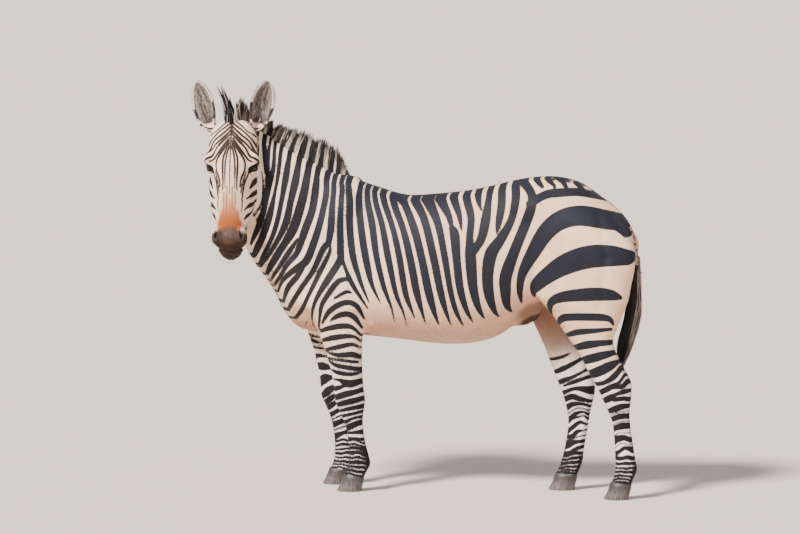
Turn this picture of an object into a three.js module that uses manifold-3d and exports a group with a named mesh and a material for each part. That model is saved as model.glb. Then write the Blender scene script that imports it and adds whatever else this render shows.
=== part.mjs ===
// A life-size mountain zebra stallion, standing at ease and looking to its left.
// Millimetres, +Z up. The head end is toward -X and the animal's left side toward -Y.
//
// The body is one smooth field: lofts of egg-shaped sections and ellipsoids, blended together.
// Each solid is a stack of rings, cast from the middle of its own loft out to that field,
// and the solids are then parted from one another with thin cuts.

import * as THREE from "three";
import { mergeVertices } from "three/addons/utils/BufferGeometryUtils.js";
import Module from "manifold-3d";

const wasm = await Module();
wasm.setup();

// ---------------------------------------------------------------- driving dimensions

const CUT = 0.35; // gap left between neighbouring solids
const BLEND = 45; // radius of the soft fillets between masses
const HEAD_BLEND = 20; // the same in the head
const RECAST_STEPS = 18; // halvings used to find the surface along a ray
const CAST_LIMIT_SHARE = 1.14; // a ring goes no further out than this share of its loft's reach
const CAST_LIMIT = 8; // and this much more
const ROW_SPLITS = 4; // planes per row of a loft, for the smooth field
const SQUARENESS = 2.15; // exponent of a section's outline, where 2 is an ellipse
const DEG = Math.PI / 180;

// Trunk: x, top, underside, half width, level of the widest part
const TRUNK = [
  [-600, 1180, 770, 112, 930],
  [-520, 1290, 708, 152, 930],
  [-440, 1368, 692, 168, 940],
  [-360, 1384, 686, 176, 950],
  [-250, 1352, 679, 190, 950],
  [-110, 1314, 667, 207, 950],
  [30, 1320, 653, 216, 955],
  [170, 1336, 655, 217, 970],
  [290, 1361, 684, 212, 1000],
  [380, 1384, 740, 204, 1050],
  [470, 1399, 800, 198, 1100],
  [570, 1401, 850, 196, 1130],
  [670, 1376, 880, 188, 1130],
  [760, 1317, 905, 166, 1110],
  [830, 1266, 945, 128, 1100],
  [880, 1208, 1000, 84, 1095],
  [908, 1150, 1060, 40, 1095],
];

// Neck: crest x and z, throat x and z, y of both, half width, turn toward the left in degrees
const NECK = [
  [-330, 1376, -520, 760, 0, 132, 0],
  [-415, 1400, -640, 800, 0, 136, 0],
  [-495, 1438, -738, 925, 0, 126, 0],
  [-578, 1480, -806, 1020, -1, 112, 3],
  [-662, 1532, -862, 1130, -5, 101, 7],
  [-735, 1584, -900, 1235, -16, 94, 15],
  [-803, 1616, -912, 1330, -40, 90, 34],
  [-846, 1614, -905, 1410, -86, 80, 62],
];

// The neck is parted from the trunk along a plane, from the withers to the breast: x and z
const NECK_CUT = [[-372, 1440], [-692, 730]];
const NECK_CUT_REACH = 300;
const SLIVER = 1e6; // cubic millimetres

// Head, in its own frame: distance from the poll toward the lips, face line, jaw line,
// half width, level of the widest part (depths below the face are negative)
const HEAD_POLL = [-857, -168, 1643];
const HEAD_TURN = 5;
const HEAD_TILT = 13;
const HEAD = [
  [-4, -34, -95, 56, -62],
  [12, -12, -120, 80, -66],
  [40, 0, -150, 99, -72],
  [84, 10, -192, 108, -76],
  [134, 15, -226, 108, -70],
  [184, 17, -250, 99, -64],
  [232, 15, -262, 97, -84],
  [280, 10, -256, 96, -104],
  [330, 4, -236, 98, -112],
  [380, 0, -204, 95, -100],
  [430, -3, -170, 80, -84],
  [480, -5, -145, 61, -70],
  [530, -8, -134, 58, -66],
  [568, -24, -128, 52, -70],
  [592, -46, -120, 38, -82],
  [606, -66, -106, 16, -88],
];

// Near foreleg: z, front, back, y, half width
const FORELEG = [
  [900, -565, -290, 108, 62],
  [840, -562, -262, 116, 74],
  [780, -520, -264, 119, 70],
  [720, -484, -272, 119, 64],
  [660, -462, -280, 117, 58],
  [600, -441, -283, 115, 53],
  [540, -425, -282, 113, 49],
  [480, -413, -279, 112, 46],
  [430, -408, -273, 111, 47],
  [395, -404, -271, 110, 48],
  [355, -386, -277, 110, 41],
  [310, -367, -281, 109, 34],
  [260, -353, -276, 109, 31],
  [210, -346, -268, 109, 31],
  [165, -343, -256, 108, 35],
  [125, -346, -248, 108, 38],
  [92, -354, -262, 108, 36],
  [62, -368, -279, 108, 39],
];
const FORE_SHIFT = 110; // how far the far foreleg stands ahead of the near one
const KNEE = 352;

// Hind legs: z, front, back, y, half width
const HIND_NEAR = [
  [1180, 580, 860, 98, 60],
  [1110, 500, 922, 111, 88],
  [1020, 474, 930, 118, 97],
  [940, 482, 916, 122, 95],
  [870, 508, 903, 126, 88],
  [810, 560, 880, 128, 80],
  [750, 603, 856, 130, 71],
  [690, 645, 838, 131, 62],
  [630, 688, 856, 131, 55],
  [570, 720, 888, 131, 49],
  [520, 748, 914, 132, 45],
  [475, 773, 919, 133, 45],
  [430, 794, 916, 134, 44],
  [385, 815, 911, 135, 39],
  [340, 833, 913, 136, 33],
  [290, 841, 920, 137, 31],
  [235, 845, 928, 138, 31],
  [180, 848, 937, 139, 35],
  [135, 849, 944, 140, 38],
  [98, 842, 932, 140, 36],
  [65, 829, 918, 140, 39],
];
const HIND_FAR = [
  [1180, 570, 850, 98, 60],
  [1110, 482, 908, 111, 88],
  [1020, 440, 896, 118, 97],
  [940, 422, 868, 121, 95],
  [870, 413, 832, 124, 88],
  [810, 418, 788, 126, 80],
  [750, 437, 744, 127, 71],
  [690, 466, 706, 126, 62],
  [630, 494, 688, 125, 55],
  [570, 518, 692, 124, 49],
  [520, 538, 706, 122, 45],
  [475, 557, 720, 120, 45],
  [430, 575, 720, 119, 44],
  [385, 588, 710, 118, 39],
  [340, 599, 700, 117, 33],
  [290, 602, 693, 116, 31],
  [235, 595, 683, 115, 31],
  [180, 585, 674, 114, 35],
  [135, 574, 668, 113, 38],
  [98, 562, 656, 112, 36],
  [65, 546, 641, 112, 39],
];
const HOCK = 402;

// Hooves, which hang from the last row of each leg
const HOOF_HEIGHT = 62;
const HOOF_HALF_WIDTH = 50;
const HOOF_CORONET_HALF_WIDTH = 42;
const HOOF_TOE_LEAN = 30; // how far the toe's wall runs forward from the coronet to the ground
const HOOF_HEEL_LEAN = 8; // the same for the heel
const HOOF_BEVEL = 6; // height of the rounding round the sole
const HOOF_SIDES = 14;

// Tail: z, front, back, half width
const TAIL_DOCK = [
  [1190, 854, 884, 19],
  [1158, 870, 903, 22],
  [1110, 882, 920, 23],
  [1050, 892, 932, 21],
  [980, 898, 941, 19],
];
const TAIL_TUFT = [
  [979, 897, 942, 20],
  [930, 890, 946, 25],
  [860, 878, 948, 30],
  [790, 862, 942, 32],
  [720, 845, 928, 31],
  [650, 833, 908, 26],
  [600, 832, 884, 18],
  [562, 842, 862, 7],
];

// Mane: crest x and z, tip x and z, y of both, half thickness at the skin, turn in degrees
const MANE = [
  [-376, 1366, -384, 1396, 0, 9, 0],
  [-396, 1372, -404, 1452, 0, 15, 0],
  [-430, 1386, -430, 1500, 0, 19, 0],
  [-482, 1413, -476, 1537, 0, 21, 0],
  [-556, 1450, -543, 1562, -1, 22, 2],
  [-630, 1495, -612, 1582, -4, 22, 6],
  [-700, 1543, -682, 1608, -10, 22, 12],
  [-765, 1580, -752, 1642, -22, 22, 26],
  [-818, 1596, -808, 1684, -48, 20, 48],
  [-852, 1600, -846, 1726, -96, 16, 74],
];
const MANE_TIP_HALF_THICKNESS = 5;
const MANE_RINGS = 16;
// One side of a mane's section: share of the height, share of the half thickness
const MANE_SIDE = [[-0.15, 1], [0.3, 0.85], [0.75, 0.55]];

// Ears, in the head's frame
const EAR_LENGTH = 205;
const EAR_BASE = { right: [12, 113, -62], left: [12, 106, -62] }; // along the head, sideways, depth
const EAR_LEAN_OUT = { right: 18, left: 11 };
const EAR_LEAN_BACK = 6;
const EAR_TURN_OUT = 22;
const EAR_THICKNESS = 6;
const EAR_ROOT_INWARD = 150; // sideways run of the root, for each length below the base
const EAR_RINGS = 11;
const EAR_HALF_ARC = 6; // steps round the back of each ring, and again round its hollow
const EAR_SWEEP = 0.625; // share of the closed angle that the leaf wraps round on each side
// share of the length, half width, depth of the cup, opening half angle in degrees
const EAR = [
  [-0.2, 20, 18, 6],
  [-0.06, 30, 28, 14],
  [0.08, 40, 36, 38],
  [0.22, 48, 41, 68],
  [0.38, 53, 41, 86],
  [0.54, 53, 37, 92],
  [0.7, 47, 31, 94],
  [0.84, 37, 23, 94],
  [0.94, 24, 13, 94],
];

const EYE_RADIUS = 21;
const EYE = [208, 91, -52]; // along the head, sideways, depth

const FORELOCK_BASE = [6, 0, -38];
const FORELOCK_RINGS = 9;
const FORELOCK_SIDES = 8;
// height above the base, lean toward the animal's right, half width, half depth
const FORELOCK = [
  [0, 0, 26, 26],
  [45, 4, 27, 24],
  [90, 14, 24, 19],
  [135, 31, 16, 12],
  [174, 50, 5, 5],
];

// ---------------------------------------------------------------- vectors

const add = (a, b, s = 1) => [a[0] + b[0] * s, a[1] + b[1] * s, a[2] + b[2] * s];
const sub = (a, b) => add(a, b, -1);
const dot = (a, b) => a[0] * b[0] + a[1] * b[1] + a[2] * b[2];
const size = (a) => Math.hypot(a[0], a[1], a[2]);
const unit = (a) => a.map((value) => value / size(a));
const cross = (a, b) => [
  a[1] * b[2] - a[2] * b[1],
  a[2] * b[0] - a[0] * b[2],
  a[0] * b[1] - a[1] * b[0],
];
const mix = (a, b, t) => a + (b - a) * t;

// A smooth curve through rows of numbers, at a position counted in rows.
function along(rows, position) {
  const last = rows.length - 1;
  const i = Math.min(Math.max(Math.floor(position), 0), last - 1);
  const t = position - i;
  const row = (k) => rows[Math.min(Math.max(k, 0), last)];
  return rows[i].map((_, column) => {
    const [a, b, c, d] = [row(i - 1), row(i), row(i + 1), row(i + 2)].map((r) => r[column]);
    const bend = 2 * a - 5 * b + 4 * c - d;
    const twist = 3 * (b - c) + d - a;
    return b + 0.5 * t * (c - a + t * (bend + t * twist));
  });
}

// ---------------------------------------------------------------- sections and lofts

// A section has a middle, two unit directions in its plane and its reach in each of them.
const section = (middle, up, side, above, below, half) => {
  const normal = cross(up, side);
  return { middle, up, side, above, below, half, normal };
};

const trunkSection = ([x, top, under, half, level]) =>
  section([x, 0, level], [0, 0, 1], [0, 1, 0], top - level, level - under, half);

function neckSection([crestX, crestZ, throatX, throatZ, y, half, turn]) {
  const crest = [crestX, y, crestZ];
  const throat = [throatX, y, throatZ];
  const side = [-Math.sin(turn * DEG), Math.cos(turn * DEG), 0];
  const rise = sub(crest, throat);
  const up = unit(sub(rise, side.map((value) => value * dot(rise, side))));
  const reach = size(rise) / 2;
  return section(add(throat, rise, 0.5), up, side, reach, reach, half);
}

const headAhead = [Math.sin(HEAD_TURN * DEG), -Math.cos(HEAD_TURN * DEG), 0];
const headSide = [Math.cos(HEAD_TURN * DEG), Math.sin(HEAD_TURN * DEG), 0]; // to its left
const headDown = add([0, 0, -Math.cos(HEAD_TILT * DEG)], headAhead, Math.sin(HEAD_TILT * DEG));
const headFace = add([0, 0, Math.sin(HEAD_TILT * DEG)], headAhead, Math.cos(HEAD_TILT * DEG));
const inHead = ([s, lateral, depth]) =>
  add(add(add(HEAD_POLL, headDown, s), headSide, lateral), headFace, depth);

const headSection = ([s, face, jaw, half, level]) =>
  section(inHead([s, 0, level]), headFace, headSide, face - level, level - jaw, half);

const legSection = (sign) => ([z, front, back, y, half]) => {
  const reach = (back - front) / 2;
  return section([front + reach, sign * y, z], [-1, 0, 0], [0, 1, 0], reach, reach, half);
};

const tailSection = ([z, front, back, half]) => legSection(1)([z, front, back, 0, half]);

const loft = (rows, toSection, splits = ROW_SPLITS) => {
  const count = (rows.length - 1) * splits + 1;
  const planes = Array.from({ length: count }, (_, i) => toSection(along(rows, i / splits)));
  return { rows, toSection, planes };
};

// Signed distance from a loft's surface, measured straight out from its middle.
function loftDistance({ planes }, point) {
  const last = planes.length - 1;
  const offset = (i) => dot(sub(point, planes[i].middle), planes[i].normal);
  const forward = dot(sub(planes[last].middle, planes[0].middle), planes[0].normal) > 0 ? 1 : -1;
  let low = 0;
  let high = last;
  if (forward * offset(0) <= 0) {
    high = 0;
  } else if (forward * offset(last) >= 0) {
    low = last;
  }
  while (high - low > 1) {
    const middle = (low + high) >> 1;
    if (forward * offset(middle) > 0) low = middle;
    else high = middle;
  }
  const a = planes[low];
  const b = planes[high];
  const [da, db] = [Math.abs(offset(low)), Math.abs(offset(high))];
  const t = low === high ? 0 : da / Math.max(da + db, 1e-9);
  const middle = a.middle.map((value, k) => mix(value, b.middle[k], t));
  const away = sub(point, middle);
  const u = dot(away, a.side) * (1 - t) + dot(away, b.side) * t;
  const v = dot(away, a.up) * (1 - t) + dot(away, b.up) * t;
  const reach = v > 0 ? mix(a.above, b.above, t) : mix(a.below, b.below, t);
  const half = mix(a.half, b.half, t);
  const across = Math.hypot(u, v);
  const share = (Math.abs(u / half) ** SQUARENESS + Math.abs(v / reach) ** SQUARENESS)
    ** (1 / SQUARENESS);
  const radial = share < 1e-6 ? -half : across * (1 - 1 / share);
  const beyond = low === high ? da : 0;
  return beyond > 0 ? Math.hypot(Math.max(radial, 0), beyond) + Math.min(radial, 0) * 0.2 : radial;
}

// An ellipsoid: middle, three unit directions, its reach in each.
const ball = (middle, reach, axes = [[1, 0, 0], [0, 1, 0], [0, 0, 1]]) => ({ middle, reach, axes });

function ballDistance({ middle, reach, axes }, point) {
  const away = sub(point, middle);
  const share = Math.hypot(...axes.map((axis, k) => dot(away, axis) / reach[k]));
  return share < 1e-6 ? -Math.min(...reach) : size(away) * (1 - 1 / share);
}

const distance = (shape, point) =>
  shape.planes ? loftDistance(shape, point) : ballDistance(shape, point);

// Smooth union of distances.
function blended(shapes, point) {
  let total = Infinity;
  for (const { shape, blend } of shapes) {
    const next = distance(shape, point);
    const share = Math.max(blend - Math.abs(total - next), 0) / blend;
    total = Math.min(total, next) - (Number.isFinite(share) ? share * share * blend * 0.25 : 0);
  }
  return total;
}

// ---------------------------------------------------------------- the body's masses

const shapes = (blend, ...list) => list.map((shape) => ({ shape, blend }));

const trunkLoft = loft(TRUNK, trunkSection);
const neckLoft = loft(NECK, neckSection);
const headLoft = loft(HEAD, headSection);

const shiftLeg = (rows) =>
  rows.map(([z, front, back, y, half]) => {
    const shift = -FORE_SHIFT * THREE.MathUtils.smoothstep(940 - z, 0, 240);
    return [z, front + shift, back + shift, y, half];
  });

const legs = {
  fore_left: { rows: FORELEG, sign: -1, cut: KNEE },
  fore_right: { rows: shiftLeg(FORELEG), sign: 1, cut: KNEE },
  hind_left: { rows: HIND_NEAR, sign: -1, cut: HOCK },
  hind_right: { rows: HIND_FAR, sign: 1, cut: HOCK },
};
for (const leg of Object.values(legs)) {
  leg.loft = loft(leg.rows, legSection(leg.sign));
}

const tilted = (angle) => [
  [Math.cos(angle * DEG), 0, Math.sin(angle * DEG)],
  [0, 1, 0],
  [-Math.sin(angle * DEG), 0, Math.cos(angle * DEG)],
];

const mirrored = (make) => [-1, 1].map(make);

const trunkMasses = [
  ball([-538, 0, 885], [140, 145, 185]), // breast
  ...mirrored((sign) => ball([-555, sign * 90, 930], [92, 66, 125])), // point of the shoulder
  ...mirrored((sign) => ball([-440, sign * 100, 1110], [105, 74, 235], tilted(-28))), // shoulder
  ...mirrored((sign) => ball([-395, sign * 118, 880], [135, 74, 120])), // upper arm
  ...mirrored((sign) => ball([684, sign * 96, 1074], [226, 111, 202])), // rump
  ...mirrored((sign) => ball([480, sign * 120, 1265], [100, 62, 62])), // point of the hip
  ball([438, 0, 782], [62, 26, 34], tilted(30)), // sheath
];

const headBall = (place, reach) => ball(inHead(place), reach, [headDown, headSide, headFace]);
const headMasses = [
  ...mirrored((sign) => headBall([176, sign * 94, -44], [42, 31, 36])), // brow
  ...mirrored((sign) => headBall([268, sign * 66, -152], [112, 49, 84])), // cheek
  ...mirrored((sign) => headBall([518, sign * 50, -38], [42, 30, 36])), // nostril
  headBall([528, 0, -58], [42, 64, 52]), // upper lip
  headBall([566, 0, -96], [42, 46, 34]), // lower lip and chin
];

const trunkField = shapes(BLEND, trunkLoft, ...trunkMasses);
const neckField = [...trunkField, ...shapes(BLEND, neckLoft)];
const headField = shapes(HEAD_BLEND, headLoft, ...headMasses);

// ---------------------------------------------------------------- rings to solids

// Reach of the field along a ray, held near the loft's own reach.
function castRadius(field, plane, direction, own) {
  const limit = own * CAST_LIMIT_SHARE + CAST_LIMIT;
  const at = (radius) => blended(field, add(plane.middle, direction, radius));
  if (at(limit) < 0) return limit;
  let low = own / 2;
  let high = limit;
  for (let i = 0; i < RECAST_STEPS; i += 1) {
    const middle = (low + high) / 2;
    if (at(middle) < 0) low = middle;
    else high = middle;
  }
  return (low + high) / 2;
}

function ownRadius(plane, cosine, sine) {
  const reach = cosine > 0 ? plane.above : plane.below;
  const share = Math.abs(sine / plane.half) ** SQUARENESS + Math.abs(cosine / reach) ** SQUARENESS;
  return share ** (-1 / SQUARENESS);
}

function castRing(field, plane, sides, grow) {
  return Array.from({ length: sides }, (_, k) => {
    const angle = (2 * Math.PI * (k + 0.5)) / sides;
    const [cosine, sine] = [Math.cos(angle), Math.sin(angle)];
    const direction = add(plane.up.map((value) => value * cosine), plane.side, sine);
    const own = ownRadius(plane, cosine, sine);
    const radius = field ? castRadius(field, plane, direction, own) : own;
    return add(plane.middle, direction, radius + grow);
  });
}

// A closed mesh from rings and its two end points.
function stack(rings, start, end) {
  const sides = rings[0].length;
  const points = [start, ...rings.flat(), end];
  const index = (ring, k) => 1 + ring * sides + (k % sides);
  const triangles = [];
  for (let k = 0; k < sides; k += 1) {
    triangles.push([0, index(0, k + 1), index(0, k)]);
    triangles.push([points.length - 1, index(rings.length - 1, k), index(rings.length - 1, k + 1)]);
    for (let ring = 0; ring < rings.length - 1; ring += 1) {
      triangles.push([index(ring, k), index(ring, k + 1), index(ring + 1, k)]);
      triangles.push([index(ring, k + 1), index(ring + 1, k + 1), index(ring + 1, k)]);
    }
  }
  return solidFrom(points, triangles);
}

function solidFrom(points, triangles) {
  const make = (list) => {
    const vertProperties = new Float32Array(points.flat());
    const triVerts = new Uint32Array(list.flat());
    return new wasm.Manifold(new wasm.Mesh({ numProp: 3, vertProperties, triVerts }));
  };
  const solid = make(triangles);
  return solid.volume() > 0 ? solid : make(triangles.map(([a, b, c]) => [a, c, b]));
}

const average = (ring) =>
  ring.reduce((sum, point) => add(sum, point), [0, 0, 0]).map((value) => value / ring.length);

// A body solid from part of a loft, given in rows.
function castLoft(shape, field, { from = 0, to = shape.rows.length - 1, steps, sides, grow = 0 }) {
  const rings = Array.from({ length: steps + 1 }, (_, i) => {
    const plane = shape.toSection(along(shape.rows, mix(from, to, i / steps)));
    return castRing(field, plane, sides, grow);
  });
  return closeEnds(rings, grow);
}

function closeEnds(rings, grow) {
  const start = average(rings[0]);
  const end = average(rings[rings.length - 1]);
  const startOut = unit(sub(start, average(rings[1])));
  const endOut = unit(sub(end, average(rings[rings.length - 2])));
  rings[0] = rings[0].map((point) => add(point, startOut, grow));
  rings[rings.length - 1] = rings[rings.length - 1].map((point) => add(point, endOut, grow));
  return stack(rings, add(start, startOut, grow), add(end, endOut, grow));
}

// Position in rows at which the first column has a given value.
function rowAt(rows, value) {
  const i = rows.findIndex((row, k) => k > 0 && (row[0] - value) * (rows[k - 1][0] - value) <= 0);
  return i - 1 + (value - rows[i - 1][0]) / (rows[i][0] - rows[i - 1][0]);
}

// ---------------------------------------------------------------- sub-parts

const trunk = (grow) => castLoft(trunkLoft, trunkField, { steps: 26, sides: 26, grow });

const neck = (grow) =>
  castLoft(neckLoft, neckField, { from: 0.3, steps: 11, sides: 20, grow });

// A thin flat blade across the body, from one point of the midline to another.
function blade([fromX, fromZ], [toX, toZ]) {
  const geometry = new THREE.BoxGeometry(CUT, 2 * NECK_CUT_REACH, Math.hypot(toX - fromX, toZ - fromZ));
  geometry.rotateY(Math.atan2(fromX - toX, fromZ - toZ));
  geometry.translate((fromX + toX) / 2, 0, (fromZ + toZ) / 2);
  return fromGeometry(geometry);
}

const head = (grow) => castLoft(headLoft, headField, { steps: 23, sides: 24, grow });

function legUpper({ rows, loft: shape, cut }, grow = 0) {
  const to = rowAt(rows, cut);
  return castLoft(shape, null, { from: 0, to, steps: 11, sides: 14, grow });
}

function legLower({ rows, loft: shape, cut }) {
  return castLoft(shape, null, { from: rowAt(rows, cut - CUT), steps: 10, sides: 12 });
}

// Hoof: a slanting wall from the coronet to a flat sole.
function hoof({ rows, sign }) {
  const [top, front, back, y] = rows[rows.length - 1];
  const toe = (share) => front - HOOF_TOE_LEAN * share;
  const heel = (share) => back - HOOF_HEEL_LEAN * share;
  const walls = [
    [0, toe(1), heel(1), HOOF_HALF_WIDTH - 1],
    [HOOF_BEVEL, toe(0.97), heel(0.9), HOOF_HALF_WIDTH],
    [HOOF_HEIGHT * 0.6, toe(0.4), heel(0), HOOF_HALF_WIDTH * 0.93],
    [top - CUT, toe(0.1), heel(-0.4), HOOF_CORONET_HALF_WIDTH],
  ];
  const rings = walls.map(([z, from, to, half]) =>
    castRing(null, legSection(sign)([z, from, to, y, half]), HOOF_SIDES, 0));
  return closeEnds(rings, 0);
}

// Ear: an open leaf, a thick shell around a hollow that faces forward and outward.
function ear(side, sign) {
  const lean = EAR_LEAN_OUT[side] * DEG;
  const back = EAR_LEAN_BACK * DEG;
  const rise = unit(add(add(headDown.map((v) => -v * Math.cos(lean)), headSide, sign * Math.sin(lean)),
    headFace, -Math.sin(back)));
  const turn = EAR_TURN_OUT * DEG;
  const open = unit(add(headFace.map((v) => v * Math.cos(turn)), headSide, sign * Math.sin(turn)));
  const facing = unit(sub(open, rise.map((v) => v * dot(open, rise))));
  const across = cross(rise, facing);
  const [below, sideways, depth] = EAR_BASE[side];
  const base = inHead([below, sign * sideways, depth]);
  const step = (EAR.length - 1) / (EAR_RINGS - 1);
  const rings = Array.from({ length: EAR_RINGS }, (_, i) => along(EAR, i * step))
    .map(([share, half, depth, opening]) => {
      const inward = sign * Math.min(share, 0) * EAR_ROOT_INWARD;
      const middle = add(add(base, rise, share * EAR_LENGTH), headSide, inward);
      const sweep = (180 - opening / 2) * EAR_SWEEP;
      const place = (angle, width, reach) =>
        add(add(middle, across, Math.sin(angle) * width), facing, -Math.cos(angle) * reach);
      const arc = Array.from({ length: EAR_HALF_ARC + 1 }, (_, k) =>
        mix(-sweep, sweep, k / EAR_HALF_ARC) * DEG);
      const outer = arc.map((angle) => place(angle, half, depth));
      const inner = arc.slice().reverse().map((angle) =>
        place(angle * 0.97, half - EAR_THICKNESS, depth - EAR_THICKNESS));
      return [...outer, ...inner];
    });
  return stack(rings, average(rings[0]), add(base, rise, EAR_LENGTH));
}

function mane() {
  const step = (MANE.length - 1) / (MANE_RINGS - 1);
  const rings = Array.from({ length: MANE_RINGS }, (_, i) => along(MANE, i * step))
    .map(([crestX, crestZ, tipX, tipZ, y, half, turn]) => {
      const side = [-Math.sin(turn * DEG), Math.cos(turn * DEG), 0];
      const root = [crestX, y, crestZ];
      const rise = sub([tipX, y, tipZ], root);
      const at = (share, width) => add(add(root, rise, share), side, width);
      const left = [
        ...MANE_SIDE.map(([share, width]) => [share, half * width]),
        [1, MANE_TIP_HALF_THICKNESS],
      ];
      const right = left.map(([share, width]) => [share, -width]).reverse();
      return [...left, ...right].map(([share, width]) => at(share, width));
    });
  return closeEnds(rings, 0);
}

function forelock() {
  const base = inHead(FORELOCK_BASE);
  const step = (FORELOCK.length - 1) / (FORELOCK_RINGS - 1);
  const rings = Array.from({ length: FORELOCK_RINGS }, (_, i) => along(FORELOCK, i * step))
    .map(([height, lean, half, depth]) => {
      const middle = add(add(base, [0, 0, 1], height), headSide, -lean);
      return castRing(null, section(middle, headAhead, headSide, depth, depth, half), FORELOCK_SIDES, 0);
    });
  return closeEnds(rings, 0);
}

const tailPiece = (rows, steps) =>
  castLoft(loft(rows, tailSection), null, { steps, sides: 12 });

function eyeball(sign, grow = 0) {
  const [x, y, z] = inHead([EYE[0], sign * EYE[1], EYE[2]]);
  const geometry = new THREE.SphereGeometry(EYE_RADIUS + grow, 12, 8);
  geometry.translate(x, y, z);
  return fromGeometry(geometry);
}

function fromGeometry(geometry) {
  geometry.deleteAttribute("normal");
  geometry.deleteAttribute("uv");
  const merged = mergeVertices(geometry);
  return new wasm.Manifold(new wasm.Mesh({
    numProp: 3,
    vertProperties: merged.attributes.position.array,
    triVerts: Uint32Array.from(merged.index.array),
  }));
}

// ---------------------------------------------------------------- materials

const finish = (color, roughness, metalness = 0) => () =>
  new THREE.MeshStandardMaterial({ color, roughness, metalness });

const coat = finish(0xcdb59c, 0.85);
const hair = finish(0x1d1b1f, 0.75);
const horn = finish(0x5f574f, 0.55);
const eyeFinish = finish(0x120b08, 0.08);

// ---------------------------------------------------------------- assembly

const group = new THREE.Group();

function put(name, solid, material) {
  const { vertProperties, triVerts } = solid.getMesh();
  const geometry = new THREE.BufferGeometry();
  geometry.setAttribute("position", new THREE.BufferAttribute(vertProperties, 3));
  geometry.setIndex(new THREE.BufferAttribute(triVerts, 1));
  geometry.computeVertexNormals();
  const mesh = new THREE.Mesh(geometry, material());
  mesh.name = name;
  group.add(mesh);
}

const parted = (solid, cutters) => cutters.reduce((left, cutter) => left.subtract(cutter), solid);

// The largest connected piece of a solid, without the slivers of a cut.
const whole = (solid) =>
  solid.decompose().reduce((best, piece) => (piece.volume() > best.volume() ? piece : best));

const trunkCutter = trunk(CUT);
const headCutter = head(CUT);
const eyeCutters = mirrored((sign) => eyeball(sign, CUT));
const neckCutter = neck(CUT);

const [neckSolid, trunkSolid] = parted(trunk(0).add(neck(0)), [headCutter, blade(...NECK_CUT)])
  .decompose()
  .filter((piece) => piece.volume() > SLIVER)
  .sort((a, b) => a.boundingBox().min[0] - b.boundingBox().min[0]);
put("trunk", trunkSolid, coat);
put("neck", neckSolid, coat);
put("head", whole(parted(head(0), eyeCutters)), coat);

for (const [side, sign] of [["right", -1], ["left", 1]]) {
  put(`eye_${side}`, eyeball(sign), eyeFinish);
  put(`ear_${side}`, whole(parted(ear(side, sign), [headCutter, neckCutter])), coat);
}

put("mane", whole(parted(mane(), [neckCutter, trunkCutter, headCutter])), hair);
put("forelock", whole(parted(forelock(), [headCutter, neckCutter])), hair);

for (const [name, leg] of Object.entries(legs)) {
  put(`leg_${name}_upper`, whole(parted(legUpper(leg), [trunkCutter, neckCutter])), coat);
  put(`leg_${name}_lower`, legLower(leg), coat);
  put(`hoof_${name}`, hoof(leg), horn);
}

const thighCutters = [legs.hind_left, legs.hind_right].map((leg) => legUpper(leg, CUT));
put("tail_dock", whole(parted(tailPiece(TAIL_DOCK, 6), [trunkCutter, ...thighCutters])), coat);
put("tail_tuft", whole(parted(tailPiece(TAIL_TUFT, 9), thighCutters)), hair);

// The origin goes to the middle of the whole model's footprint, on the ground.
const box = new THREE.Box3().setFromObject(group);
const middle = box.getCenter(new THREE.Vector3());
group.position.set(-middle.x, -middle.y, -box.min.z);

export default group;
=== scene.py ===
import math

import bpy
import numpy as np
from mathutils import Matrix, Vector


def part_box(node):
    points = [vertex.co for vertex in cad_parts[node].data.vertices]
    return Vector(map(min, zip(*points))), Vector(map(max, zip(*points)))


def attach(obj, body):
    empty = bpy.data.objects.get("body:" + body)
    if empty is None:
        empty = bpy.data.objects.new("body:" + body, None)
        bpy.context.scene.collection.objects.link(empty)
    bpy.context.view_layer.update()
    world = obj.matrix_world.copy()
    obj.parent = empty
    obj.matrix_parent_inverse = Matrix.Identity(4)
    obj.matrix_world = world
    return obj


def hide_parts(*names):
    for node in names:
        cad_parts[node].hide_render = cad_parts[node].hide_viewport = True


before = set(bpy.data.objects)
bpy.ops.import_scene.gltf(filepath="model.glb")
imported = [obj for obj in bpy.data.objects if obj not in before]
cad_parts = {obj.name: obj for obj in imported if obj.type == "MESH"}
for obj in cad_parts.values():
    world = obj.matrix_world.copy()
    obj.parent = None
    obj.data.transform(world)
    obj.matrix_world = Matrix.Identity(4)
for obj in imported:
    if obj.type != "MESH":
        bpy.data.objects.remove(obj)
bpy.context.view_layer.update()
RNG = np.random.default_rng(20260)

# Lengths are in millimetres in the animal's own frame until a mesh is made: the head end
# is toward -X, its left side toward -Y, and the floor is z = 0.

# ------------------------------------------------------------------ tables of the body

# Trunk: x, top, underside, half width, level of the widest place. Neck: crest x z, throat x z,
# y, half width, turn in degrees. Head: distance down it, face, jaw, half width, level of the
# widest place. Legs: z, front, back, y, half width. Tail: z, front, back, half width.
# Ear: share of its length, half width, depth of its hollow, opening in degrees.
TRUNK = """-600 1180 770 112 930, -520 1290 708 152 930, -440 1368 692 168 940,
-360 1384 686 176 950, -250 1352 679 190 950, -110 1314 667 207 950, 30 1320 653 216 955,
170 1336 655 217 970, 290 1361 684 212 1000, 380 1384 740 204 1050, 470 1399 800 198 1100,
570 1401 850 196 1130, 670 1376 880 188 1130, 760 1317 905 166 1110, 830 1266 945 128 1100,
880 1208 1000 84 1095, 908 1150 1060 40 1095"""
NECK = """-330 1376 -520 760 0 132 0, -415 1400 -640 800 0 136 0, -495 1438 -738 925 0 126 0,
-578 1480 -806 1020 -1 112 3, -662 1532 -862 1130 -5 101 7, -735 1584 -900 1235 -16 94 15,
-803 1616 -912 1330 -40 90 34, -846 1614 -905 1410 -86 80 62"""
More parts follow.
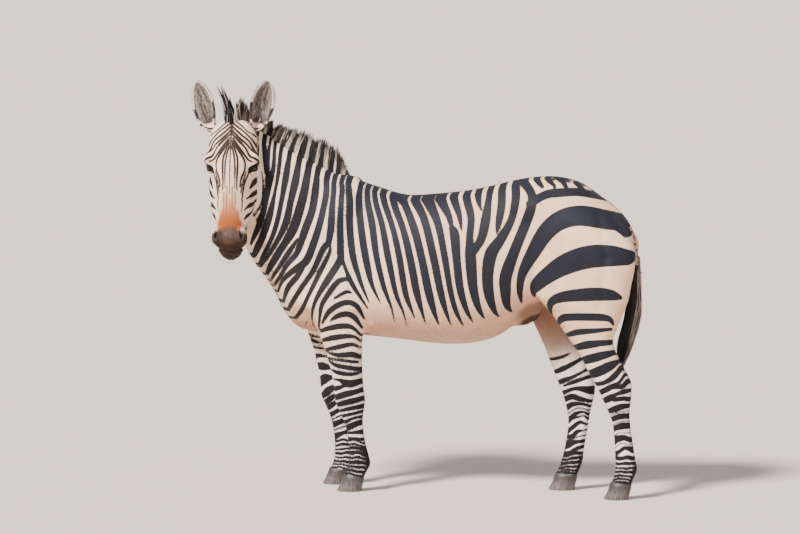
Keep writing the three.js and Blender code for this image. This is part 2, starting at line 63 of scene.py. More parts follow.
HEAD = """-4 -34 -95 56 -62, 12 -12 -120 80 -66, 40 0 -150 99 -72, 84 10 -192 108 -76,
134 15 -226 108 -70, 184 17 -250 99 -64, 232 15 -262 97 -84, 280 10 -256 96 -104,
330 4 -236 98 -112, 380 0 -204 95 -100, 430 -3 -170 80 -84, 480 -5 -145 61 -70,
530 -8 -134 58 -66, 568 -24 -128 52 -70, 592 -46 -120 38 -82, 606 -66 -106 16 -88"""
FORELEG = """900 -565 -290 108 62, 840 -562 -262 116 74, 780 -520 -264 119 70,
720 -484 -272 119 64, 660 -462 -280 117 58, 600 -441 -283 115 53, 540 -425 -282 113 49,
480 -413 -279 112 46, 430 -408 -273 111 47, 395 -404 -271 110 48, 355 -386 -277 110 41,
310 -367 -281 109 34, 260 -353 -276 109 31, 210 -346 -268 109 31, 165 -343 -256 108 35,
125 -346 -248 108 38, 92 -354 -262 108 36, 62 -368 -279 108 39"""
HIND_NEAR = """1180 580 860 98 60, 1110 500 922 111 88, 1020 474 930 118 97, 940 482 916 122 95,
870 508 903 126 88, 810 560 880 128 80, 750 603 856 130 71, 690 645 838 131 62,
630 688 856 131 55, 570 720 888 131 49, 520 748 914 132 45, 475 773 919 133 45,
430 794 916 134 44, 385 815 911 135 39, 340 833 913 136 33, 290 841 920 137 31,
235 845 928 138 31, 180 848 937 139 35, 135 849 944 140 38, 98 842 932 140 36, 65 829 918 140 39"""
HIND_FAR = """1180 570 850 98 60, 1110 482 908 111 88, 1020 440 896 118 97, 940 422 868 121 95,
870 413 832 124 88, 810 418 788 126 80, 750 437 744 127 71, 690 466 706 126 62,
630 494 688 125 55, 570 518 692 124 49, 520 538 706 122 45, 475 557 720 120 45,
430 575 720 119 44, 385 588 710 118 39, 340 599 700 117 33, 290 602 693 116 31,
235 595 683 115 31, 180 585 674 114 35, 135 574 668 113 38, 98 562 656 112 36, 65 546 641 112 39"""
TAIL_DOCK = """1190 854 884 19, 1158 870 903 22, 1110 882 920 23, 1050 892 932 21, 980 898 941 19"""
EAR = """-0.2 20 18 6, -0.06 30 28 14, 0.08 40 36 38, 0.22 48 41 68, 0.38 53 41 86,
0.54 53 37 92, 0.7 47 31 94, 0.84 37 23 94, 0.94 24 13 94"""
FORE_SHIFT = 110
SQUARENESS = 2.15
# How softly shapes run together: on the trunk, on the head, and where parts join.
BLEND, HEAD_BLEND, HEAD_JOIN, LEG_JOIN, TAIL_JOIN = 45, 20, 30, 34, 14
FAR_AWAY = 400.0  # the distance of a place that isn't near a shape
HIND_X = 100  # legs behind this are hind legs
HEAD_X, NECK_X = -740, -700  # ahead of these lie nearly all of the head, and all of it
HEAD_POLL = np.array([-857.0, -168, 1643])
HEAD_TURN, HEAD_TILT = math.radians(5), math.radians(13)
EYE = np.array([208.0, 91, -52])
EYE_RADIUS = 21

# The dark stripes as strokes on a plane: x, z and width at points along each of them.
BODY_STROKES = """-424 1391 18, -412 1312 22, -411 1184 28, -421 1105 24; -422 1105 22,
-448 1073 24, -490 984 22, -543 907 22, -612 810 19, -638 775 13; -413 1092 9, -419 1056 16,
-462 972 21, -508 878 18, -544 812 19, -592 759 16; -394 1384 16, -373 1313 21, -371 1184 24,
-368 1075 27, -370 1030 27, -415 955 28, -467 871 19, -495 802 14, -507 742 11, -510 700 8;
-359 1039 13, -347 1000 14, -314 927 18, -274 861 12, -247 816 7; -341 948 16, -374 937 21,
-411 892 22, -448 832 18, -460 782 13, -471 726 11; -318 887 8, -340 891 15, -389 864 11;
-449 751 11, -417 801 20, -372 834 22, -326 845 20, -292 826 19, -267 771 8; -413 761 9,
-376 785 20, -335 793 22, -304 775 20, -277 728 7; -362 1379 18, -335 1292 25, -330 1184 26,
-313 1054 26, -278 940 18, -239 844 6; -304 1391 15, -295 1279 25, -273 1142 28, -246 1012 27,
-223 924 17, -185 841 5; -278 1391 15, -261 1295 22, -229 1186 27, -203 1048 24, -172 926 20,
-139 828 11, -129 759 5; -251 1378 16, -226 1291 20, -183 1182 23, -150 1045 26, -114 888 18,
-86 807 10, -76 742 5; -224 1372 16, -189 1289 22, -139 1183 22, -101 1055 25, -71 893 23,
-47 817 12, -35 779 5; -180 1353 18, -142 1275 24, -89 1171 25, -51 1047 29, -21 899 28,
0 809 14, 12 754 5; -148 1344 18, -136 1307 19, -90 1267 25, -37 1168 30, 3 1039 30, 35 891 31,
54 811 20, 70 751 6; -122 1338 13, -122 1310 14, -91 1279 18; -88 1330 27, -58 1296 29,
4 1211 29, 53 1058 30, 88 892 27, 107 812 17, 124 752 6; -33 1324 36, 12 1285 37, 67 1195 28,
103 1059 26, 133 893 22, 153 810 18, 178 748 6; 34 1326 33, 63 1298 36, 107 1238 25, 124 1200 20;
130 1181 22, 145 1146 36, 157 1051 31, 173 920 29, 196 827 20, 221 765 6; 99 1336 31,
126 1296 29, 158 1235 21, 174 1172 8; 165 1342 31, 184 1297 30, 213 1223 28, 212 1130 28,
219 1052 41, 230 925 35, 249 836 24, 272 783 7; 223 1349 36, 237 1299 22, 255 1255 6;
280 1369 31, 283 1304 25, 279 1220 36, 265 1139 33, 233 1080 27; 331 1379 31, 344 1289 31,
338 1213 26, 330 1157 7; 386 1388 31, 407 1308 34, 392 1218 29, 353 1140 36, 309 1071 46,
294 979 42, 299 890 36, 316 822 20, 332 792 7; 417 1387 31, 473 1334 29, 482 1280 36,
453 1194 38, 411 1085 39, 373 975 44, 369 904 38, 372 840 24, 389 811 7; 475 1289 31,
538 1327 31, 600 1336 32, 675 1337 28, 756 1315 18, 824 1282 9, 871 1225 5; 892 1162 31,
855 1202 49, 804 1220 65, 697 1240 73, 614 1222 73, 549 1169 65, 494 1081 51, 445 988 34,
429 908 22, 433 850 7; 899 1061 58, 829 1069 78, 735 1064 85, 639 1032 78, 562 984 62,
507 937 47, 489 902 22, 494 874 7; 871 887 18, 826 900 44, 745 902 50, 635 890 42, 582 871 33,
563 840 24, 570 794 7; 842 766 7, 826 793 22, 779 802 29, 656 800 29, 613 787 27, 589 746 8;
831 748 13, 761 742 20, 681 732 24, 618 709 13; 468 1403 18, 490 1384 20, 519 1359 13;
509 1408 15, 541 1385 16, 570 1364 12, 572 1347 9; 551 1410 11, 559 1388 10; 566 1398 13,
603 1379 16, 629 1348 12; 608 1391 11, 628 1379 9; 644 1382 12, 674 1361 13, 699 1340 11;
681 1367 6, 744 1339 6, 804 1298 5; -454 1383 20, -447 1307 26, -461 1199 28, -492 1094 31,
-525 1022 33, -573 987 27, -637 933 20, -679 864 11; -539 991 18, -568 950 25, -608 905 25,
-634 855 20, -646 823 11; -496 1400 20, -496 1340 29, -505 1246 32, -536 1153 36, -569 1060 27,
-615 1003 22, -660 940 18, -700 894 11; -571 1117 9, -609 1058 24, -658 989 20, -713 921 12;
-536 1426 27, -543 1340 34, -561 1253 38, -591 1160 39, -635 1088 31, -683 1017 31, -725 957 20;
-581 1460 20, -587 1374 33, -605 1279 29, -624 1190 31, -661 1112 22, -707 1041 18, -752 987 11;
-625 1477 18, -631 1391 28, -645 1295 22, -666 1189 22, -697 1104 20, -747 1018 18, -766 991 9;
-663 1495 16, -665 1409 17, -678 1321 15, -701 1215 29, -733 1125 30, -772 1055 29, -791 1024 13;
-691 1521 12, -689 1426 18, -709 1338 27, -729 1237 24, -756 1160 25, -795 1088 13; -713 1521 12,
-712 1452 13, -715 1373 18; -740 1556 12, -730 1496 20, -720 1408 16; -535 749 10, -556 714 9;
-775 1600 14, -765 1500 18, -770 1400 20, -790 1290 20, -815 1180 18, -830 1100 12; -815 1610 12,
-808 1520 16, -812 1420 18, -830 1320 18, -850 1220 14, -866 1165 12; -858 1600 12, -852 1500 14,
-858 1400 14, -872 1320 14, -880 1250 12; -893 1560 12, -888 1450 15, -888 1350 14; -722 1400 6,
-719 1350 7, -717 1320 8, -718 1285 9, -734 1240 9, -762 1195 8; -740 1412 5, -733 1370 7,
-732 1330 8, -735 1290 8, -748 1250 8, -772 1212 7; -756 1250 4, -778 1215 4; 756 1328 9,
806 1308 10, 838 1275 9, 865 1240 8, 883 1206 7, 896 1168 6"""
FORE_LEFT_STROKES = """-462 713 15, -409 731 22, -346 740 23, -309 728 15, -281 693 8;
-461 669 15, -401 686 23, -343 694 20, -306 690 13, -283 666 7; -446 629 12, -380 645 20,
-318 657 16, -285 638 8; -443 621 8, -381 609 18, -319 612 24, -286 598 15; -430 592 12,
-350 584 15, -306 579 13; -434 583 8, -392 563 18, -328 552 20, -285 546 16; -420 543 7,
-383 530 19, -320 524 16, -285 534 11; -423 499 8, -379 497 14, -338 482 31, -304 487 27,
-282 495 20; -418 451 20, -385 461 20, -352 472 13; -409 413 22, -352 434 27, -308 445 22,
-279 455 20; -405 380 18, -352 397 24, -308 408 24, -275 417 20; -396 353 12, -341 369 17,
-275 382 20; -396 327 15, -343 342 15, -278 358 13; -396 295 19, -358 308 18, -318 327 12,
-282 334 14; -387 264 12, -349 281 24, -310 300 25, -272 314 20; -394 242 20, -346 259 12,
-279 267 20; -396 216 17, -347 233 16, -274 235 14"""
FORE_RIGHT_STROKES = """-581 675 9, -551 667 11, -516 663 8; -577 652 12, -542 643 13,
-502 636 8; -568 619 9, -533 614 10, -493 612 8; -545 565 20, -524 578 15, -475 576 9;
-531 529 22, -500 531 27, -462 525 13; -513 458 27, -491 476 31, -457 484 13; -497 403 20,
-476 421 27, -448 440 18; -488 369 18, -467 385 20, -443 404 13; -486 339 16, -464 353 18,
-439 372 15; -473 309 18, -436 331 15; -463 265 22, -424 281 18; -454 214 22, -419 227 16"""
HIND_LEFT_STROKES = """830 689 18, 786 687 22, 725 678 27, 670 662 20; 847 645 16, 803 635 27,
741 617 30, 695 601 22, 681 596 11; 864 607 13, 833 590 29, 785 565 34, 739 547 28, 723 547 13;
874 576 18, 846 542 21, 806 515 16, 761 504 15; 891 549 11, 868 516 12, 838 498 18, 810 482 20,
774 464 18; 910 531 13, 885 501 18, 851 492 9; 914 481 12, 890 476 18, 856 464 13, 825 445 24,
792 428 15; 914 441 16, 890 446 16, 856 442 16; 917 413 13, 882 411 20, 851 400 22, 816 386 15;
917 367 18, 873 367 20, 828 347 17; 920 325 18, 879 324 23, 847 310 16, 837 288 11; 922 260 15,
890 273 20, 851 262 23, 839 236 13; 924 219 20, 895 228 13, 869 213 13, 844 198 22"""
HIND_RIGHT_STROKES = """508 580 9, 552 587 12, 595 603 12, 637 629 10; 535 520 12, 574 538 18,
612 557 16, 658 584 13; 553 474 15, 587 490 18, 628 507 12, 676 533 11; 597 470 9, 638 487 15,
681 502 13; 576 430 16, 620 451 13, 656 456 16, 702 449 27; 585 401 18, 624 419 20, 660 410 18,
709 398 11; 594 363 20, 624 384 17, 668 387 11, 710 373 10; 608 312 18, 637 341 14, 672 351 8,
702 334 11; 618 313 7, 641 325 8, 676 333 7, 694 316 9; 601 258 13, 628 283 15, 659 305 12,
691 292 7; 597 236 14, 624 241 15, 646 263 13, 672 268 7; 586 193 20, 615 208 22, 655 219 12;
579 162 14, 620 174 13, 655 191 12"""
# Those of the face: 100 times the angle round the head from its front, distance down it, width.
FACE_STROKES = """4 -8 6, 28 7 6, 49 25 6, 76 51 6, 132 67 5; 3 8 6, 23 27 6, 50 48 6, 81 74 7,
129 110 7; 3 28 6, 18 44 6, 48 72 7, 87 101 7, 129 150 7; 2 47 6, 15 62 6, 42 89 7, 81 119 7,
124 154 7; 2 64 5, 13 76 5, 37 101 7, 67 132 7, 92 164 7, 126 182 5; 8 85 5, 27 113 6, 51 145 7,
77 171 7, 97 186 5; 6 97 5, 23 124 6, 47 157 7, 69 188 7, 70 223 7, 54 261 7, 47 299 5; 6 108 4,
21 142 5, 33 180 6, 35 226 6, 33 270 5, 33 314 4; 4 120 4, 14 153 5, 21 192 5, 23 236 5,
22 306 3; 103 209 6, 89 245 7, 69 284 7, 59 342 6, 62 378 5, 65 409 4; 79 230 4, 68 259 6,
56 298 5, 51 325 4; 172 246 9, 131 271 12, 101 300 5; 179 275 8, 160 302 11, 121 323 10,
81 348 5; 168 334 8, 145 358 9, 103 376 11, 80 398 5; 162 381 8, 139 405 9, 109 424 11, 95 442 5;
0 4 9, 0 36 7, 0 64 5, 0 96 4, 0 130 4, 0 160 3; 0 150 4, 0 220 4, 0 330 3; 12 300 3, 13 360 3,
14 402 2; 26 325 3, 27 365 3, 28 404 2; 176 60 8, 196 105 9, 200 160 8, 190 215 5; 214 120 8,
226 180 10, 222 250 10, 214 330 9, 204 400 5; 246 130 9, 256 200 11, 252 290 10, 240 380 8;
280 150 9, 290 230 10, 286 310 9, 272 390 7; 98 -8 5, 130 28 8, 158 76 9, 171 136 9, 168 196 6;
128 -12 5, 162 16 8, 190 48 8; 134 96 5, 150 136 8, 152 184 5"""

table = lambda text: np.array([[float(n) for n in row.split()] for row in text.split(",")])
unit = lambda v: v / np.maximum(np.linalg.norm(v, axis=-1, keepdims=True), 1e-9)
mix = lambda a, b, t: a + (b - a) * t


def smooth(x, low, high):
    t = np.clip((x - low) / (high - low), 0, 1)
    return t * t * (3 - 2 * t)


AHEAD = np.array([math.sin(HEAD_TURN), -math.cos(HEAD_TURN), 0])
HEAD_SIDE = np.array([math.cos(HEAD_TURN), math.sin(HEAD_TURN), 0])
HEAD_DOWN = np.array([0, 0, -math.cos(HEAD_TILT)]) + AHEAD * math.sin(HEAD_TILT)
HEAD_FACE = np.array([0, 0, math.sin(HEAD_TILT)]) + AHEAD * math.cos(HEAD_TILT)
HEAD_AXES = np.stack([HEAD_DOWN, HEAD_SIDE, HEAD_FACE])
from_head = lambda p: HEAD_POLL + np.asarray(p, float) @ HEAD_AXES
to_head = lambda p: (p - HEAD_POLL) @ HEAD_AXES.T

low, high = (np.array(v) * 1000 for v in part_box("eye_left"))
SHIFT = (low + high) / 2 - from_head(EYE)
SHIFT[2] = 0
row = lambda p: (np.asarray(p) + SHIFT) / 1000  # into the frame of the CAD, in metres

# ------------------------------------------------------------------ the smooth body


def along(rows, position):
    """A smooth curve through the rows, at positions counted in rows."""
    last = len(rows) - 1
    i = np.clip(np.floor(position).astype(int), 0, last - 1)
    t = (position - i)[:, None]
    a, b, c, d = (rows[np.clip(i + k, 0, last)] for k in (-1, 0, 1, 2))
    return b + 0.5 * t * (c - a + t * (2 * a - 5 * b + 4 * c - d + t * (3 * (b - c) + d - a)))


class Loft:
    """Egg-shaped sections along a body part. sections(rows) gives each one's middle, up,
    side, reach above, reach below and half width."""

    SPLITS = 4

    def __init__(self, rows, sections):
        self.rows = rows
        steps = np.arange((len(rows) - 1) * self.SPLITS + 1) / self.SPLITS
        self.mid, self.up, self.side, self.above, self.below, self.half = sections(
            along(rows, steps)
        )
        self.normal = np.cross(self.up, self.side)
        if (self.mid[-1] - self.mid[0]) @ self.normal[0] < 0:
            self.normal = -self.normal
        reach = max(self.above.max(), self.below.max(), self.half.max()) + 60
        self.low, self.high = self.mid.min(0) - reach, self.mid.max(0) + reach

    def locate(self, p):
        """Row position, sideways and upward place, share of the outline, and distance."""
        offset = p @ self.normal.T - (self.mid * self.normal).sum(1)
        last = len(self.mid) - 1
        i = np.clip((offset > 0).sum(1) - 1, 0, last - 1)
        every = np.arange(len(p))
        da, db = offset[every, i], -offset[every, i + 1]
        t = np.clip(da / np.maximum(da + db, 1e-9), 0, 1)
        t = np.where(da <= 0, 0, np.where(db <= 0, 1, t))
        pick = lambda values: mix(values[i].T, values[i + 1].T, t).T
        away = p - pick(self.mid)
        u, v = (away * pick(self.side)).sum(1), (away * pick(self.up)).sum(1)
        half = pick(self.half)
        reach = np.where(v > 0, pick(self.above), pick(self.below))
        share = (abs(u / half) ** SQUARENESS + abs(v / reach) ** SQUARENESS) ** (1 / SQUARENESS)
        radial = np.hypot(u, v) * (1 - 1 / np.maximum(share, 1e-6))
        radial = np.where(share < 1e-6, -half, radial)
        beyond = np.maximum(np.maximum(-da, -db), 0)
        capped = np.hypot(np.maximum(radial, 0), beyond) + np.minimum(radial, 0) * 0.2
        return (i + t) / self.SPLITS, u, v, half, reach, np.where(beyond > 0, capped, radial)

    def distance(self, p):
        out = np.full(len(p), FAR_AWAY)
        near = ((p > self.low) & (p < self.high)).all(1)
        if near.any():
            out[near] = self.locate(p[near])[5]
        return out


class Ball:
    def __init__(self, middle, reach, axes=None):
        self.middle, self.reach = np.array(middle, float), np.array(reach, float)
        self.axes = np.eye(3) if axes is None else axes

    def distance(self, p):
        away = p - self.middle
        share = np.linalg.norm(away @ self.axes.T / self.reach, axis=1)
        return np.linalg.norm(away, axis=1) * (1 - 1 / np.maximum(share, 1e-3))


def const(v, n):
    return np.tile(np.array(v, float), (n, 1))


def trunk_sections(r):
    x, top, under, half, level = r.T
    mid = np.stack([x, 0 * x, level], 1)
    up, side = const([0, 0, 1], len(r)), const([0, 1, 0], len(r))
    return mid, up, side, top - level, level - under, half


def neck_sections(r):
    crest_x, crest_z, throat_x, throat_z, y, half, turn = r.T
    turn = np.radians(turn)
    side = np.stack([-np.sin(turn), np.cos(turn), 0 * turn], 1)
    throat = np.stack([throat_x, y, throat_z], 1)
    rise = np.stack([crest_x, y, crest_z], 1) - throat
    up = unit(rise - side * (rise * side).sum(1)[:, None])
    reach = np.linalg.norm(rise, axis=1) / 2
    return throat + rise / 2, up, side, reach, reach, half


def head_sections(r):
    s, face, jaw, half, level = r.T
    mid = from_head(np.stack([s, 0 * s, level], 1))
    return mid, const(HEAD_FACE, len(r)), const(HEAD_SIDE, len(r)), face - level, level - jaw, half


def leg_sections(sign):
    def sections(r):
        z, front, back, y, half = r.T
        reach = (back - front) / 2
        mid = np.stack([front + reach, sign * y, z], 1)
        return mid, const([-1, 0, 0], len(r)), const([0, 1, 0], len(r)), reach, reach, half

    return sections


def tilted(angle):
    a = math.radians(angle)
    return np.array([[math.cos(a), 0, math.sin(a)], [0, 1, 0], [-math.sin(a), 0, math.cos(a)]])


def both(place, reach, axes=None):
    x, y, z = place
    return [Ball([x, sign * y, z], reach, axes) for sign in (-1, 1)]


def head_balls(place, reach):
    s, lateral, depth = place
    signs = (-1, 1) if lateral else (1,)
    return [Ball(from_head([s, sign * lateral, depth]), reach, HEAD_AXES) for sign in signs]


fore_rows = table(FORELEG)
far_rows = fore_rows.copy()
far_rows[:, 1:3] -= FORE_SHIFT * smooth(940 - far_rows[:, [0]], 0, 240)
dock_rows = np.insert(table(TAIL_DOCK), 3, 0, axis=1)

LOFTS = {
    "trunk": Loft(table(TRUNK), trunk_sections),
    "neck": Loft(table(NECK), neck_sections),
    "head": Loft(table(HEAD), head_sections),
    "fore_left": Loft(fore_rows, leg_sections(-1)),
    "fore_right": Loft(far_rows, leg_sections(1)),
    "hind_left": Loft(table(HIND_NEAR), leg_sections(-1)),
    "hind_right": Loft(table(HIND_FAR), leg_sections(1)),
    "tail": Loft(dock_rows, leg_sections(1)),
}
LEGS = ("fore_left", "fore_right", "hind_left", "hind_right")
TRUNK_SHAPES = [
    LOFTS["trunk"],
    Ball([-538, 0, 885], [140, 145, 185]),
    *both([-555, 90, 930], [92, 66, 125]),
    *both([-440, 100, 1110], [105, 74, 235], tilted(-28)),
    *both([-395, 118, 880], [135, 74, 120]),
    *both([684, 96, 1074], [226, 111, 202]),
    *both([480, 120, 1265], [100, 62, 62]),
    Ball([438, 0, 782], [62, 26, 34], tilted(30)),
    LOFTS["neck"],
]
HEAD_SHAPES = [
    LOFTS["head"],
    *head_balls([176, 94, -44], [42, 31, 36]),
    *head_balls([268, 66, -152], [112, 49, 84]),
    *head_balls([518, 50, -38], [42, 30, 36]),
    *head_balls([528, 0, -58], [42, 64, 52]),
    *head_balls([566, 0, -96], [42, 46, 34]),
]


def union(a, b, blend):
    share = np.maximum(blend - abs(a - b), 0) / blend
    return np.minimum(a, b) - share * share * blend / 4


def coat_depth(p):
    """How far the skin lies inside the solids: least on the face and the feet."""
    on_leg = smooth(p[:, 2], 520, 760)
    off_head = smooth(p[:, 0], -760, -640)
    return 1.8 + 2.2 * on_leg * off_head


def field(p):
    """Signed distance from the skin."""
    body = TRUNK_SHAPES[0].distance(p)
    for shape in TRUNK_SHAPES[1:]:
        body = union(body, shape.distance(p), BLEND)
    head = np.full(len(p), FAR_AWAY)
    near = ((p > LOFTS["head"].low) & (p < LOFTS["head"].high)).all(1)
    if near.any():
        q = p[near]
        value = HEAD_SHAPES[0].distance(q)
        for shape in HEAD_SHAPES[1:]:
            value = union(value, shape.distance(q), HEAD_BLEND)
        head[near] = value
    body = union(body, head, HEAD_JOIN)
    for name in LEGS:
        body = union(body, LOFTS[name].distance(p), LEG_JOIN)
    return union(body, LOFTS["tail"].distance(p), TAIL_JOIN) + coat_depth(p)


def in_chunks(function, p, size=60000):
    """A function of places worked out a part at a time, which needs less memory."""
    return np.concatenate([function(p[i : i + size]) for i in range(0, len(p), size)])


def slope(p, step=0.6):
    """The field and its gradient."""
    value = in_chunks(field, p)
    moved = [in_chunks(field, p + step * axis) for axis in np.eye(3)]
    return value, np.stack([m - value for m in moved], 1) / step


def onto_skin(p, rounds=2, furthest=12):
    """The places moved onto the skin along the field's gradient."""
    for _ in range(rounds):
        value, grad = slope(p)
        steepness = np.maximum((grad * grad).sum(1), 0.25)
        p = p - np.clip(value / steepness, -furthest, furthest)[:, None] * grad
    return p


def skin_net(step=10.0, coarse=3, band=62):
    """A mesh of the skin from a regular grid: one vertex in each cell that it crosses. The field
    is found on a coarse grid first, and then on the fine one in a band about the skin."""
    low = np.array([-1010.0, -330, 40])
    high = np.array([960.0, 265, 1690])
    counts = np.ceil((high - low) / step).astype(int) + 1
    wide = [low[k] + step * coarse * np.arange(counts[k] // coarse + 2) for k in range(3)]
    nodes = np.stack(np.meshgrid(*wide, indexing="ij"), -1)
    rough = in_chunks(field, nodes.reshape(-1, 3)).reshape(nodes.shape[:3])
    values = rough.repeat(coarse, 0).repeat(coarse, 1).repeat(coarse, 2)
    values = values[coarse // 2 :, coarse // 2 :, coarse // 2 :]
    values = values[: counts[0], : counts[1], : counts[2]]
    counts = np.array(values.shape)
    near = abs(values) < band
    index = np.argwhere(near)
    values[near] = in_chunks(field, low + step * index)
    inside = values < 0
    corners = np.stack(np.meshgrid([0, 1], [0, 1], [0, 1], indexing="ij"), -1).reshape(-1, 3)
    crossed = np.zeros(counts - 1, int)
    for a, b, c in corners:
        ends = [slice(k, k + n - 1) for k, n in zip((a, b, c), counts)]
        crossed += inside[tuple(ends)]
    cells = np.argwhere((crossed > 0) & (crossed < 8))
    at = np.stack([values[tuple((cells + c).T)] for c in corners], 1)
    total, weight = np.zeros((len(cells), 3)), np.zeros(len(cells))
    for i in range(8):
        for j in range(i + 1, 8):
            if abs(corners[i] - corners[j]).sum() != 1:
                continue
            a, b = at[:, i], at[:, j]
            cut = (a < 0) != (b < 0)
            t = np.where(cut, a / np.where(cut, a - b, 1), 0)
            total += cut[:, None] * mix(corners[i], corners[j], t[:, None])
            weight += cut
    points = low + step * (cells + total / weight[:, None])
    number = np.full(counts, -1)
    number[tuple(cells.T)] = np.arange(len(cells))
    faces = []
    for axis in range(3):
        b, c = (axis + 1) % 3, (axis + 2) % 3
        lower = [slice(1, n - 1) for n in counts]
        upper = list(lower)
        lower[axis], upper[axis] = slice(0, counts[axis] - 1), slice(1, counts[axis])
        first, second = inside[tuple(lower)], inside[tuple(upper)]
        edges = np.argwhere(first != second)
        flip = second[tuple(edges.T)]
        start = np.array([s.start for s in lower])
        cell = edges + start
        around = []
        for db, dc in ((0, 0), (1, 0), (1, 1), (0, 1)):
            near_cell = cell.copy()
            near_cell[:, b] -= db
            near_cell[:, c] -= dc
            around.append(number[tuple(near_cell.T)])
        quad = np.stack(around, 1)
        quad[flip] = quad[flip][:, ::-1]
        faces.append(quad)
    quads = np.concatenate(faces)
    quads = quads[(quads >= 0).all(1)]
    diagonal = np.linalg.norm(points[quads[:, 0]] - points[quads[:, 2]], axis=1)
    other = np.linalg.norm(points[quads[:, 1]] - points[quads[:, 3]], axis=1)
    turned = np.where((other < diagonal)[:, None], np.roll(quads, 1, 1), quads)
    return points, np.concatenate([turned[:, [0, 1, 2]], turned[:, [0, 2, 3]]])


def edges_of(faces):
    """Each edge once, and the three edges of each face."""
    ends = np.sort(faces[:, [[0, 1], [1, 2], [2, 0]]].reshape(-1, 2), 1)
    edges, back = np.unique(ends, axis=0, return_inverse=True)
    return edges, back.reshape(-1, 3)


def refine(points, faces, target):
    """Splits the edges longer than the target length at their middle, with no cracks."""
    edges, sides = edges_of(faces)
    ends = points[edges]
    middle = ends.mean(1)
    split = np.linalg.norm(ends[:, 0] - ends[:, 1], axis=1) > target(middle)
    number = np.full(len(edges), -1)
    number[split] = len(points) + np.arange(split.sum())
    points = np.concatenate([points, onto_skin(middle[split])])
    m = number[sides]
    cut = m >= 0
    out = [faces[~cut.any(1)]]
    for turn in range(3):
        f, e, c = np.roll(faces, -turn, 1), np.roll(m, -turn, 1), np.roll(cut, -turn, 1)
        one = c[:, 0] & ~c[:, 1] & ~c[:, 2]
        a, b, d, ab = *f[one].T, e[one, 0]
        out += [np.stack([a, ab, d], 1), np.stack([ab, b, d], 1)]
        two = c[:, 0] & c[:, 1] & ~c[:, 2]
        a, b, d, ab, bd = *f[two].T, e[two, 0], e[two, 1]
        out += [np.stack([ab, b, bd], 1), np.stack([a, ab, bd], 1), np.stack([a, bd, d], 1)]
    every = cut.all(1)
    a, b, d, ab, bd, da = *faces[every].T, *m[every].T
    out += [np.stack(t, 1) for t in ((a, ab, da), (ab, b, bd), (da, bd, d), (ab, bd, da))]
    return points, np.concatenate(out)


def relaxed(points, faces, rounds, amount=0.5, mask=None):
    """Each vertex drawn toward its neighbours' middle."""
    edges, _ = edges_of(faces)
    count = np.bincount(edges.ravel(), minlength=len(points))[:, None]
    for _ in range(rounds):
        total = np.zeros_like(points)
        for k in range(3):
            for a, b in (edges.T, edges.T[::-1]):
                total[:, k] += np.bincount(a, points[b, k], len(points))
        move = (total / np.maximum(count, 1) - points) * amount
        points = points + (move if mask is None else move * mask[:, None])
    return points


# ------------------------------------------------------------------ the markings


class Pattern:
    """Dark strokes on a plane: how many millimetres inside the nearest one a place lies."""

    REACH, STEP, SPAN = 15.0, 2.5, 22

    def __init__(self, text, wider):
        runs = []
        for rows in (table(line) for line in text.split(";")):
            length = np.linalg.norm(np.diff(rows[:, :2], axis=0), axis=1).sum()
            runs.append(along(rows, np.linspace(0, len(rows) - 1, int(length / 4) + 2)))
        dots = np.concatenate(runs)
        dots[:, 2] *= wider(dots[:, 0]) if callable(wider) else wider
        margin = (self.SPAN + 2) * self.STEP
        self.low = dots[:, :2].min(0) - margin
        counts = ((dots[:, :2].max(0) + margin - self.low) / self.STEP).astype(int) + 2
        self.values = np.full(counts, -self.REACH)
        reach = np.arange(-self.SPAN, self.SPAN + 1)
        for x, z, width in dots:
            at = (np.array([x, z]) - self.low) / self.STEP
            i, j = np.round(at).astype(int)
            away = np.hypot(*np.meshgrid(reach + i - at[0], reach + j - at[1], indexing="ij"))
            block = self.values[i + reach[0] : i + reach[-1] + 1, j + reach[0] : j + reach[-1] + 1]
            np.maximum(block, width / 2 - away * self.STEP, out=block)

    def at(self, a, b):
        place = (np.stack([a, b], 1) - self.low) / self.STEP
        top = np.array(self.values.shape) - 1.001
        outside = ((place < 0) | (place > top)).any(1)
        place = np.clip(place, 0, top)
        i, j = place.astype(int).T
        s, t = (place - place.astype(int)).T
        v = self.values
        value = mix(mix(v[i, j], v[i + 1, j], s), mix(v[i, j + 1], v[i + 1, j + 1], s), t)
        return np.where(outside, -self.REACH, value)


def rings(legs_rows, levels, drop):
    """Strokes round a lower leg, arched over its middle and lower behind by the drop."""
    out = []
    for z, width in table(levels):
        _, front, back, _, _ = along(legs_rows, np.array([row_at(legs_rows, z)]))[0]
        rise = (drop / 2 - 7, 3 + drop / 6, 6 - drop / 6, -2 - drop / 2)
        places = (front - 8, mix(front, back, 0.35), mix(front, back, 0.7), back + 8)
        out.append(", ".join(f"{x} {z + up} {width}" for x, up in zip(places, rise)))
    return "; ".join(out)


def row_at(rows, value):
    return float(np.interp(-value, -rows[:, 0], np.arange(len(rows))))


# Level and width of each ring on the fetlocks and pasterns.
FETLOCK_RINGS = {
    "fore_left": "221 9, 204 10, 188 14, 168 16, 147 12, 127 16, 107 13, 89 13, 72 12",
    "fore_right": "194 9, 175 10, 156 8, 138 10, 119 8, 101 9, 86 7, 71 8",
    "hind_left": "182 14, 158 11, 138 9, 121 10, 103 9, 88 9, 71 12",
    "hind_right": "160 12, 140 10, 121 11, 102 9, 86 8, 71 10",
}
BODY = Pattern(
    BODY_STROKES, lambda x: 1.24 - 0.1 * smooth(-x, 430, 560) - 0.06 * smooth(x, 480, 600)
)
FACE = Pattern(FACE_STROKES, lambda a: 1.76 - 0.26 * smooth(a, 34, 60) + 0.55 * smooth(a, 90, 112))


